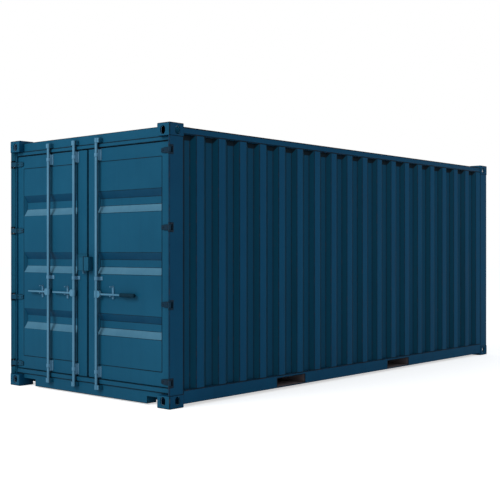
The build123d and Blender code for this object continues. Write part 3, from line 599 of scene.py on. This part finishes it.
def coat_finish(name, paint, faded, fading=0.5, streaks=0.2, chips=0.3, edges=0.9):
    """Container paint on steel: colours and amounts of wear as given."""
    material, tree, shader = new_material(name)
    coat = weathered(tree, paint, faded, fading, streaks, chips, edges)
    join_coat(tree, shader, coat, coat.outputs["Colour"])
    return material


def post_finish():
    """Painted light: the doors' lighter colour in front, the frame's at the sides and a light colour in the
    shaded channel.
    """
    material, tree, shader = new_material("post_paint_coat")
    coat = weathered(tree, frame_paint, frame_faded, fading=0.5, streaks=0.2, chips=0.3, edges=0.9)
    paint_light_by_facing(tree, coat, channel_painted_light)
    join_coat(tree, shader, coat, coat.outputs["Colour"])
    return material


def seam_finish():
    """Painted weld bead: scaly, dark with dirt, with rust coming through in places."""
    material, tree, shader = new_material("weld_seam")
    where = place(tree, "TexCoord").outputs["Object"]
    rusty = ramp(tree, noise(tree, where, 3.1, 7.0), 0.56, 0.68)
    colour = blended(tree, rusty, linear(*seam_paint), linear(*seam_rust))
    roughness = ramp(tree, rusty, 0.0, 1.0, *seam_roughness)
    join_shader(tree, shader, colour, roughness, noise(tree, where, 160.0, 3.0), grain_bump)
    return material


def frame_seams():
    """The joints between the posts and their castings, on the two outer sides of each post."""
    runs = []
    for side in (1, -1):
        y = side * post_face_y
        for level in casting_levels:
            for end, inner_y in ((-1, lip_inner_y), (1, front_post_inner_y)):
                x = end * post_face_x
                runs.append([(end * post_end_x, y, level), (x, y, level), (x, side * inner_y, level)])
    return runs


def lip_seams():
    """The beads along the lip strips, above the one on the header and below the one on the sill."""
    runs = []
    for name, edge, way in (("header_lip_strip", 1, 1), ("sill_lip_strip", 0, -1)):
        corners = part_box(name)
        x = corners[1][0] - lip_bead / 2
        z = corners[edge][2] + way * lip_bead / 2
        runs.append([(x, corners[0][1], z), (x, corners[1][1], z)])
    return runs


frame_coat = coat_finish("frame_paint_coat", frame_paint, frame_faded)
post_coat = post_finish()
door_coat = coat_finish("door_paint_coat", door_paint, door_faded, streaks=0.12, chips=0.2)
weld_seam = seam_finish()
soften("left_door_post", plate_edge, post_coat, strip=0)
# The right door post keeps the frame's darker paint on its front as well, as painted shade.
for name in ("right_door_post", "right_front_post", "left_front_post"):
    soften(name, plate_edge, frame_coat, strip=post_strip)
for name in ("right_top_rail", "left_top_rail", "right_bottom_rail", "left_bottom_rail",
             "front_sill", "front_top_rail"):
    soften(name, rail_edge, frame_coat, strip=rail_strip)
for name in ("door_header", "door_sill"):
    soften(name, rail_edge, door_coat)
for name in ("header_lip_strip", "sill_lip_strip"):
    soften(name, rail_edge, door_coat, strip=lip_strip)
lay_beads("frame_weld_seams", frame_seams(), frame_bead, "container", weld_seam)
lay_beads("lip_weld_seams", lip_seams(), lip_bead, "container", weld_seam)


# Walls: sheets of weathering steel 2 mm thick, folded into ribs and welded to the rails
# and posts. The side walls' slopes are as wide as the picture shows them, and so wider
# than the solid's. Dirt lines the bends; the recesses and slopes take painted shade, and
# under the top rail a nearly black painted shadow.
sheet_setback = 0.007
wall_face_y = side_y - sheet_setback
wall_depth = 0.036
end_face_x = end_x - sheet_setback
end_depth = 0.045
wall_bottom = 0.155
wall_top = 2.496
rib_count = 19
first_recess = 0.174
rib_flat = 0.104
rib_slope = 0.054
solid_first_recess = 0.186
solid_flat = 0.092
solid_slope = 0.030
fold_slack = 0.005
end_rib_count = 8
end_rib_flat = 0.1
end_rib_slope = 0.032
fold_radius = 0.006
sheet_folds = {"segments": 3, "corner": 15.0, "widest": 75.0, "strip": 0}
wall_bead = 0.0035
# Paints, and the painted shade and shadow
wall_paint = (4, 67, 100)
wall_faded = (10, 76, 109)
recess_painted_shade = (0, 60, 87)
recess_shade_share = 0.9
slope_painted_shade = (0, 58, 80)
slope_shade_share = 0.9
under_rail_painted_shadow = (2, 16, 24)
under_rail_shadow_share = 0.95
corner_painted_shade = (8, 24, 30)
corner_shade_share = 0.85
# Where paint and painted shade meet
face_margin = 0.003
recess_margin = 0.004
dark_height = 0.052
dark_blur = 0.006
corner_shade_width = 0.048
corner_shade_blur = 0.006
slant_from = 0.2
slant_full = 0.42


def depth_mask(tree, where):
    """0 on the outer flats of the ribs and 1 at the bottom of the recesses."""
    split = place(tree, "SeparateXYZ", {"Vector": where})
    side_bottom = wall_face_y - wall_depth + recess_margin
    side_deep = ramp(tree, size_of(tree, split.outputs["Y"]), wall_face_y - face_margin, side_bottom)
    end_bottom = end_face_x - end_depth + recess_margin
    end_deep = ramp(tree, split.outputs["X"], end_face_x - face_margin, end_bottom)
    deep = place(tree, "Math", {0: side_deep, 1: end_deep}, operation="MINIMUM").outputs["Value"]
    return deep, split


def fold_mask(tree):
    """1 on the sloping parts of the ribs, whichever wall they are in."""
    facing = place(tree, "NewGeometry").outputs["Normal"]
    split = place(tree, "SeparateXYZ", {"Vector": facing})
    slant = size_of(tree, times(tree, split.outputs["X"], split.outputs["Y"]))
    return ramp(tree, slant, slant_from, slant_full)


def wall_finish():
    """Painted shade in the recesses and on the slopes, a nearly black painted shadow at their top under the
    rail, and painted shade in the corners by the posts.
    """
    material, tree, shader = new_material("wall_paint_coat")
    coat = weathered(tree, wall_paint, wall_faded, fading=0.5, streaks=0.25, chips=0.2, edges=0.7)
    where = place(tree, "TexCoord").outputs["Object"]
    deep, split = depth_mask(tree, where)
    # Painted shade in the recesses and on the slopes.
    recess_shade = times(tree, deep, recess_shade_share)
    slope_shade = times(tree, fold_mask(tree), slope_shade_share)
    for key, paint in (("Paint", wall_paint), ("Faded", wall_faded)):
        tint = blended(tree, recess_shade, linear(*paint), linear(*recess_painted_shade))
        tree.links.new(blended(tree, slope_shade, tint, linear(*slope_painted_shade)), coat.inputs[key])
    # A painted shadow under the top rail, reaching lower in the recesses.
    uneven = plus(tree, split.outputs["Z"], times(tree, noise(tree, where, 9.0, 3.0), dark_blur))
    level = plus(tree, uneven, times(tree, deep, dark_height))
    shaded = times(tree, ramp(tree, level, wall_top, wall_top + dark_blur), under_rail_shadow_share)
    colour = blended(tree, shaded, coat.outputs["Colour"], linear(*under_rail_painted_shadow))
    # Painted shade in the recesses of the corners by the posts.
    along = size_of(tree, split.outputs["X"])
    limit = post_end_x - corner_shade_width
    corner = times(tree, times(tree, ramp(tree, along, limit - corner_shade_blur, limit), deep), corner_shade_share)
    join_coat(tree, shader, coat, blended(tree, corner, colour, linear(*corner_painted_shade)))
    return material


def widen_slopes(shape):
    """Moves the folds of a side wall from the solid's places to those in the picture.

    The fold at the right of each rib's flat stays, and the other three move.
    """
    pitch = 2 * post_end_x / rib_count
    middle = -post_end_x + solid_first_recess + solid_flat / 2
    slope_gain = rib_slope - solid_slope
    flat_gain = rib_flat - solid_flat
    moves = ((-solid_flat / 2, -flat_gain), (-solid_flat / 2 - solid_slope, -flat_gain - slope_gain),
             (solid_flat / 2 + solid_slope, slope_gain))
    for vert in shape.verts:
        off = (vert.co.x - middle + pitch / 2) % pitch - pitch / 2
        for fold, move in moves:
            if abs(off - fold) < fold_slack:
                vert.co.x += move
                break


def side_wall_line(side, level):
    """The folds of a side wall at one level, where it meets a rail."""
    recess_y = side * (wall_face_y - wall_depth)
    face_y = side * wall_face_y
    pitch = 2 * post_end_x / rib_count
    line = [(-post_end_x, recess_y, level)]
    for index in range(rib_count):
        start = -post_end_x + first_recess + index * pitch
        line += [(start - rib_slope, recess_y, level), (start, face_y, level)]
        if index < rib_count - 1:
            end = start + rib_flat
            line += [(end, face_y, level), (end + rib_slope, recess_y, level)]
    return line + [(post_end_x, face_y, level)]


def end_wall_line(level):
    """The folds of the closed end at one level."""
    recess_x = end_face_x - end_depth
    pitch = 2 * front_post_inner_y / end_rib_count
    line = []
    for index in range(end_rib_count):
        low = -front_post_inner_y + index * pitch + end_rib_flat / 2
        high = low + pitch - end_rib_flat
        line += [(end_face_x, low, level), (recess_x, low + end_rib_slope, level)]
        line += [(recess_x, high - end_rib_slope, level), (end_face_x, high, level)]
    return [(end_face_x, -front_post_inner_y, level), *line, (end_face_x, front_post_inner_y, level)]


def wall_seams():
    """Beads along the folds at the rails, and upright ones at the posts."""
    runs = []
    for level in (wall_bottom, wall_top):
        runs += [side_wall_line(1, level), side_wall_line(-1, level), end_wall_line(level)]
    for side in (1, -1):
        corners = ((-post_end_x, wall_face_y - wall_depth), (post_end_x, wall_face_y),
                   (end_face_x, front_post_inner_y))
        for x, y in corners:
            runs.append([(x, side * y, wall_bottom), (x, side * y, wall_top)])
    return runs


wall_coat = wall_finish()
for name in ("right_side_wall", "left_side_wall"):
    soften(name, fold_radius, wall_coat, **sheet_folds, reshape=widen_slopes)
soften("front_wall", fold_radius, wall_coat, **sheet_folds)
lay_beads("wall_weld_seams", wall_seams(), wall_bead, "container", weld_seam)


# Roof: one sheet with shallow troughs across it, pressed down so that rain runs to the
# sides, and doubler plates beside the castings. Sun and rain have faded it most.
roof_paint = (14, 66, 92)
roof_faded = (44, 92, 114)
roof_fold = 0.004
roof_plate_edge = 0.0008
roof_bead = 0.003
roof_bead_level = 2.557


def roof_seams():
    """The joints of the sheet with the two top rails and the front rail."""
    corners = [((-post_end_x, side * wall_face_y), (post_end_x, side * wall_face_y)) for side in (1, -1)]
    corners.append(((end_face_x, -front_post_inner_y), (end_face_x, front_post_inner_y)))
    return [[(*start, roof_bead_level), (*end, roof_bead_level)] for start, end in corners]


roof_coat = coat_finish("roof_paint_coat", roof_paint, roof_faded, fading=0.8, streaks=0.1, chips=0.5)
soften("roof_panel", roof_fold, roof_coat, **sheet_folds)
soften("roof_corner_plates", roof_plate_edge, roof_coat)
lay_beads("roof_weld_seams", roof_seams(), roof_bead, "container", weld_seam)


# Floor and underside: plywood panels screwed to pressed cross members, and two tubes
# through the base for the tines of a fork lift.
plywood_light = (128, 92, 58)
plywood_dark = (78, 52, 32)
plywood_roughness = (0.75, 0.6)
screw_steel = (86, 84, 80)
screw_rust = (60, 46, 40)
underside_wax = (30, 32, 34)
underside_faded = (44, 44, 42)
pocket_paint = (116, 108, 112)
pocket_faded = (126, 112, 108)
member_edge = 0.001
pocket_edge = 0.0015
grain_stretch = (1.2, 30.0, 8.0)
grain_depth = 0.0003
panel_rows = 5
panel_gap = 0.003
screw_radius = 0.006
screw_taper = 0.8
screw_height = 0.0008
screw_sides = 10
screw_rows = 19
screws_across = 14
screw_margin = 0.045


def plywood_finish():
    """Stained plywood: long grain, every panel a little different, scuffed by loads."""
    material, tree, shader = new_material("stained_plywood")
    where = place(tree, "TexCoord").outputs["Object"]
    grain_way = place(tree, "Mapping", {"Vector": where, "Scale": grain_stretch}).outputs["Vector"]
    grain = ramp(tree, noise(tree, grain_way, 3.0, 8.0), 0.3, 0.7)
    colour = blended(tree, grain, linear(*plywood_dark), linear(*plywood_light))
    shade = ramp(tree, noise(tree, where, 0.9, 1.0), 0.4, 0.6, 0.0, 0.35)
    colour = blended(tree, shade, colour, linear(*plywood_dark))
    scuff = ramp(tree, noise(tree, where, 2.2, 6.0), 0.5, 0.72, 0.0, 0.6)
    colour = blended(tree, scuff, colour, linear(*grime_colour))
    roughness = ramp(tree, grain, 0.0, 1.0, *plywood_roughness)
    join_shader(tree, shader, colour, roughness, grain, grain_depth)
    return material


def cut_panel(whole, cuts):
    """A copy of the floor's solid, cut by planes that face outwards and closed again."""
    panel = whole.copy()
    for spot, way in cuts:
        everything = panel.verts[:] + panel.edges[:] + panel.faces[:]
        made = bmesh.ops.bisect_plane(panel, geom=everything, plane_co=spot, plane_no=way, clear_outer=True)
        rim = [part for part in made["geom_cut"] if isinstance(part, bmesh.types.BMEdge)]
        bmesh.ops.holes_fill(panel, edges=rim, sides=0)
    return panel


def cut_floor():
    """The floor in panels with open joints between them, in two rows."""
    whole = bmesh.new()
    whole.from_mesh(nodes["floor"].data)
    bmesh.ops.remove_doubles(whole, verts=whole.verts, dist=merge_reach)
    low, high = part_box("floor")
    length = (high[0] - low[0]) / panel_rows
    shape = bmesh.new()
    spare = bpy.data.meshes.new("floor_panel")
    for row in range(panel_rows):
        start = low[0] + row * length
        ends = []
        if row > 0:
            ends.append(((start + panel_gap / 2, 0, 0), (-1, 0, 0)))
        if row < panel_rows - 1:
            ends.append(((start + length - panel_gap / 2, 0, 0), (1, 0, 0)))
        for way in (1, -1):
            panel = cut_panel(whole, ends + [((0, way * panel_gap / 2, 0), (0, -way, 0))])
            panel.to_mesh(spare)
            panel.free()
            shape.from_mesh(spare)
    whole.free()
    bpy.data.meshes.remove(spare)
    bmesh.ops.recalc_face_normals(shape, faces=shape.faces)
    return shape


def floor_screws():
    """Countersunk heads in a row over each cross member."""
    shape = bmesh.new()
    low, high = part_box("floor")
    pitch_x = (high[0] - low[0] - 2 * screw_margin) / (screw_rows - 1)
    pitch_y = (high[1] - low[1] - 2 * screw_margin) / (screws_across - 1)
    for row in range(screw_rows):
        x = low[0] + screw_margin + row * pitch_x
        for column in range(screws_across):
            y = low[1] + screw_margin + column * pitch_y
            spot = Matrix.Translation((x, y, high[2] - screw_height / 2))
            bmesh.ops.create_cone(shape, cap_ends=True, segments=screw_sides, radius1=screw_radius,
                                  radius2=screw_radius * screw_taper, depth=screw_height, matrix=spot)
    return shape


plywood = plywood_finish()
finish_piece(cut_floor(), "floor_panels", "container", plywood, ("floor",))
screw_coat = coat_finish("screw_steel", screw_steel, screw_rust,
                         fading=0.8, streaks=0.0, chips=0.6, edges=0.2)
finish_piece(floor_screws(), "floor_screws", "container", screw_coat)
underside_coat = coat_finish("underside_wax", underside_wax, underside_faded, fading=0.6, edges=0.5)
pocket_coat = coat_finish("pocket_paint_coat", pocket_paint, pocket_faded, chips=0.8, edges=0.5)
soften("cross_members", member_edge, underside_coat, strip=0)
for name in ("door_side_fork_pocket", "front_side_fork_pocket"):
    soften(name, pocket_edge, pocket_coat)


# Door leaves: a welded frame of box section round a pressed sheet with three level
# troughs. Dust and painted light lie on the slopes that face up, painted shade on those that face down.
dust_and_light_colour = (84, 132, 156)
underside_painted_shade = (0, 54, 84)
dust_and_light_amount = 0.9
slope_from = 0.2
slope_full = 0.4
leaf_setback = 0.060
leaf_face_x = leaf_setback - end_x
sheet_fold = 0.004
leaf_bead = 0.004
leaf_strip = 0.004
seam_sink = 0.001


def make_dust_and_light_group():
    """Masks of the slopes that face up, for dust and painted light, and of those that face down, for
    painted shade.
    """
    inputs = (("Amount", "Float", 0.8),)
    outputs = (("Mask", "Float"), ("Underside", "Float"))
    tree, ins, outs = new_group("dust_and_painted_light", inputs, outputs)
    facing = place(tree, "NewGeometry").outputs["Normal"]
    up = place(tree, "SeparateXYZ", {"Vector": facing}).outputs["Z"]
    where = place(tree, "TexCoord").outputs["Object"]
    uneven = ramp(tree, noise(tree, where, 5.0, 6.0), 0.3, 0.6, 0.8, 1.0)
    spread = times(tree, uneven, ins.outputs["Amount"])
    tree.links.new(times(tree, ramp(tree, up, slope_from, slope_full), spread), outs.inputs["Mask"])
    under = ramp(tree, up, -slope_from, -slope_full)
    tree.links.new(times(tree, under, spread), outs.inputs["Underside"])
    return tree


dust_and_painted_light = make_dust_and_light_group()


def door_sheet_finish():
    """Door paint with dust and painted light on the troughs' upward slopes and painted shade on the
    downward ones, under the dirt of the bends.
    """
    material, tree, shader = new_material("door_sheet_paint")
    coat = weathered(tree, door_paint, door_faded, fading=0.5, streaks=0.12, chips=0.15, edges=0.95)
    dust = tree.nodes.new("ShaderNodeGroup")
    dust.node_tree = dust_and_painted_light
    dust.inputs["Amount"].default_value = dust_and_light_amount
    # Dust and painted light on the upward slopes, painted shade on the downward ones.
    for key, paint in (("Paint", door_paint), ("Faded", door_faded)):
        tint = blended(tree, dust.outputs["Mask"], linear(*paint), linear(*dust_and_light_colour))
        tint = blended(tree, dust.outputs["Underside"], tint, linear(*underside_painted_shade))
        tree.links.new(tint, coat.inputs[key])
    join_coat(tree, shader, coat, coat.outputs["Colour"])
    return material


def sheet_seam(side):
    """The bead round a door sheet, on the face of its frame."""
    low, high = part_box(f"{side}_door_panel")
    x = leaf_face_x + seam_sink
    corners = [(x, low[1], low[2]), (x, high[1], low[2]), (x, high[1], high[2]), (x, low[1], high[2])]
    return [corners + corners[:1]]


door_sheet_coat = door_sheet_finish()
for side in ("left", "right"):
    soften(f"{side}_door_frame", rail_edge, door_coat, strip=leaf_strip)
    soften(f"{side}_door_panel", sheet_fold, door_sheet_coat, corner=15.0, widest=80.0, strip=0)
    lay_beads(f"{side}_door_weld_seam", sheet_seam(side), leaf_bead, f"{side}_door", weld_seam)


# Door seals: black rubber with two lips, held round the back edge of each leaf. The lips
# press on the posts, the header, the sill and each other.
seal_black = (16, 18, 19)
bloom_grey = (62, 66, 68)
rubber_roughness = (0.62, 0.8)
rubber_grain = 0.0002
lip_outline = ((0.0, 0.0), (0.75, 0.0), (1.0, 0.12), (0.8, 0.3), (0.5, 0.5),
               (0.8, 0.7), (1.0, 0.88), (0.75, 1.0), (0.0, 1.0))


def rubber_finish(name, colour, bloom_colour=bloom_grey, most=0.5):
    """Rubber with the pale bloom that comes with age."""
    material, tree, shader = new_material(name)
    where = place(tree, "TexCoord").outputs["Object"]
    bloom = ramp(tree, noise(tree, where, 9.0, 6.0), 0.4, 0.7, 0.0, most)
    tint = blended(tree, bloom, linear(*colour), linear(*bloom_colour))
    roughness = ramp(tree, bloom, 0.0, most, *rubber_roughness)
    join_shader(tree, shader, tint, roughness, noise(tree, where, 400.0, 2.0), rubber_grain)
    return material


def between(start, end, share):
    """A place at a share of the way from start to end."""
    return start + share * (end - start)


def lipped_seal(side):
    """Rings of four corners, one for each point of the lips' outline, bridged in turn.

    An outline point is a share of the way out from the leaf's frame, and one of the depth.
    """
    low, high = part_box(f"{side}_door_gasket")
    frame_low, frame_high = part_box(f"{side}_door_frame")
    shape = bmesh.new()
    rings = []
    for reach, along in lip_outline:
        x = between(low[0], high[0], along)
        near = [between(frame_low[axis], low[axis], reach) for axis in (1, 2)]
        far = [between(frame_high[axis], high[axis], reach) for axis in (1, 2)]
        places = (near, (far[0], near[1]), far, (near[0], far[1]))
        corners = [shape.verts.new((x, y, z)) for y, z in places]
        rings.append([shape.edges.new((corners[n], corners[(n + 1) % 4])) for n in range(4)])
    for ring, following in zip(rings, rings[1:] + rings[:1]):
        bmesh.ops.bridge_loops(shape, edges=ring + following)
    bmesh.ops.recalc_face_normals(shape, faces=shape.faces)
    return shape


seal_rubber = rubber_finish("seal_rubber", seal_black)
for side in ("left", "right"):
    node = f"{side}_door_gasket"
    finish_piece(lipped_seal(side), f"{side}_door_lip_seal", f"{side}_door", seal_rubber, (node,))


# Hinges: forged blades on the leaves turn on pins that are welded into lugs on the door
# posts. Two button-headed bolts hold each blade. Paint cracks and rusts at the knuckles, and
# the blades of the right leaf are painted darker, as painted shade.
hinge_paint_and_shade = {"left": (22, 74, 100), "right": (16, 48, 68)}
hinge_faded_and_shade = {"left": (36, 78, 98), "right": (32, 50, 64)}
lug_paint = (10, 42, 60)
lug_faded = (46, 44, 48)
side_signs = {"left": 1, "right": -1}
blade_thickness = 0.010
blade_face_x = leaf_face_x - blade_thickness
blade_count = 4
blade_edge = 0.0015
lug_edge = 0.001
knuckle_half = 0.026
dome_steps = 3
dome_sides = 10
dome_merge = 0.00001
bolt_radius = 0.009
bolt_rise = 0.005
blade_bolt_reaches = (0.074, 0.140)
small_strip = 0.003


def near_origin(shape, reach):
    """The points of a head that is being made, as those laid before are metres away."""
    return [vert for vert in shape.verts if vert.co.length < reach]


def add_dome(shape, spot, radius, rise):
    """A button head on a face that looks to the door end: a quarter arc, spun round its axis."""
    arc = []
    for step in range(dome_steps + 1):
        angle = step * math.pi / 2 / dome_steps
        arc.append(shape.verts.new((-rise * math.sin(angle), radius * math.cos(angle), 0)))
    edges = [shape.edges.new(pair) for pair in zip(arc, arc[1:])]
    bmesh.ops.spin(shape, geom=arc + edges, cent=(0, 0, 0), axis=(1, 0, 0), angle=2 * math.pi,
                   steps=dome_sides, use_merge=True)
    bmesh.ops.remove_doubles(shape, verts=near_origin(shape, 2 * radius), dist=dome_merge)
    bmesh.ops.translate(shape, verts=near_origin(shape, 2 * radius), vec=spot)


def blade_bolts(side):
    """Bolt heads on the blades of one leaf."""
    shape = bmesh.new()
    low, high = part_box(f"{side}_hinge_blades")
    pitch = (high[2] - low[2] - 2 * knuckle_half) / (blade_count - 1)
    for index in range(blade_count):
        level = low[2] + knuckle_half + index * pitch
        for reach in blade_bolt_reaches:
            spot = (blade_face_x, side_signs[side] * (side_y - reach), level)
            add_dome(shape, spot, bolt_radius, bolt_rise)
    bmesh.ops.recalc_face_normals(shape, faces=shape.faces)
    return shape


lug_coat = coat_finish("hinge_lug_coat", lug_paint, lug_faded, fading=0.6, chips=0.7, edges=0.8)
for side in ("left", "right"):
    blade_coat = coat_finish(f"{side}_hinge_paint_coat", hinge_paint_and_shade[side], hinge_faded_and_shade[side],
                             fading=0.6, chips=0.5)
    soften(f"{side}_hinge_blades", blade_edge, blade_coat, strip=small_strip)
    soften(f"{side}_hinge_lugs", lug_edge, lug_coat, strip=0)
    finish_piece(blade_bolts(side), f"{side}_hinge_bolts", f"{side}_door", lug_coat)


# Lock rods with cams and clevises, the guides and catches that hold them: drawn tube and
# forgings, galvanised under a thin light coat, so they stay paler than the doors.
rod_paint = (80, 130, 158)
rod_faded = (104, 152, 180)
# The guides' paint is lighter than the rods', partly as a painted highlight.
guide_paint_and_highlight = (88, 136, 166)
# Painted shade on the sides and backs of the rods.
rod_painted_shade = (32, 62, 80)
rod_shade_starts = -0.5
rod_shade_full = -0.22
rods_from_side = {"left": (0.632, 1.046), "right": (1.046,)}
catches_from_rod = {"left": 0.138, "right": 0.210}
guide_levels = (0.253, 2.361)
guide_bolt_across = 0.0295
guide_bolt_along = 0.035
mid_guide_level = 1.159
mid_guide_bolt = 0.040
guide_foot = 0.005
catch_plate = 0.008
guide_face_x = leaf_face_x - guide_foot
catch_face_x = leaf_face_x - catch_plate
handle_edge = 0.0012
guide_edge = 0.001
catch_bolts = (0.016, 0.038)
small_bolt = 0.0055
small_rise = 0.0035


def rod_finish():
    """Painted shade, in patches, round the sides and back of the rod; its front keeps the plain coat."""
    material, tree, shader = new_material("rod_galvanised_coat")
    coat = weathered(tree, rod_paint, rod_faded, fading=0.5, streaks=0.2, chips=0.3, edges=0.6)
    spots = place(tree, "TexCoord")
    behind = place(tree, "SeparateXYZ", {"Vector": spots.outputs["Normal"]}).outputs["X"]
    patchy = ramp(tree, noise(tree, spots.outputs["Object"], 14.0, 5.0), 0.3, 0.6, 0.75, 1.0)
    shaded = times(tree, ramp(tree, behind, rod_shade_starts, rod_shade_full), patchy)
    join_coat(tree, shader, coat, blended(tree, shaded, coat.outputs["Colour"], linear(*rod_painted_shade)))
    return material


def fitting_bolts(side, rods):
    """The screws that hold the guides and the catches to one leaf."""
    shape = bmesh.new()
    way = side_signs[side]
    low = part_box(f"{side}_handle_catches")[0]
    for rod in rods:
        y = way * (side_y - rod)
        for turn in (1, -1):
            for level in guide_levels:
                for shift in (guide_bolt_along, -guide_bolt_along):
                    spot = (guide_face_x, y + turn * guide_bolt_across, level + shift)
                    add_dome(shape, spot, small_bolt, small_rise)
            spot = (guide_face_x, y + turn * mid_guide_bolt, mid_guide_level)
            add_dome(shape, spot, small_bolt, small_rise)
        catch_y = way * (side_y - rod + catches_from_rod[side])
        for shift in catch_bolts:
            add_dome(shape, (catch_face_x, catch_y, low[2] + shift), small_bolt, small_rise)
    bmesh.ops.recalc_face_normals(shape, faces=shape.faces)
    return shape


rod_coat = rod_finish()
guide_coat = coat_finish("guide_galvanised_coat", guide_paint_and_highlight, rod_faded)
handle_coat = coat_finish("handle_galvanised_coat", rod_paint, rod_faded)
for name in ("outer_left_lock_rod", "inner_left_lock_rod", "right_lock_rod"):
    nodes[name].material_slots[0].material = rod_coat
for name in ("outer_left_handle", "inner_left_handle", "right_handle"):
    soften(name, handle_edge, handle_coat, strip=0)
for name in ("left_rod_guides", "right_rod_guides", "left_handle_catches", "right_handle_catches"):
    soften(name, guide_edge, guide_coat, strip=0)
for side, rods in rods_from_side.items():
    finish_piece(fitting_bolts(side, rods), f"{side}_fitting_bolts", f"{side}_door", handle_coat)


# Keepers: steel cheeks welded to the header and the sill, which hold the cams and so the
# leaves shut. They have the doors' paint.
keeper_edge = 0.001
soften("cam_keepers", keeper_edge, door_coat, strip=0)


# Grip: a rubber sleeve pushed over the tang of the right handle, in the dark blue of the
# drawing, with the bloom of old rubber.
grip_blue = (6, 40, 56)
grip_bloom = (30, 64, 80)
grip_rubber = rubber_finish("grip_rubber", grip_blue, grip_bloom, most=0.35)
nodes["right_handle_grip"].material_slots[0].material = grip_rubber


# Lock box: folded plate in two halves, one welded to each leaf, that shields the padlock,
# and the galvanised eye below it that the padlock hangs in.
box_paint = (22, 80, 106)
box_faded = (30, 92, 120)
box_edge = 0.0012
box_coat = coat_finish("lock_box_coat", box_paint, box_faded, chips=0.4)
for name in ("left_lock_box", "right_lock_box"):
    soften(name, box_edge, box_coat, strip=small_strip)
nodes["lock_staple"].material_slots[0].material = guide_coat
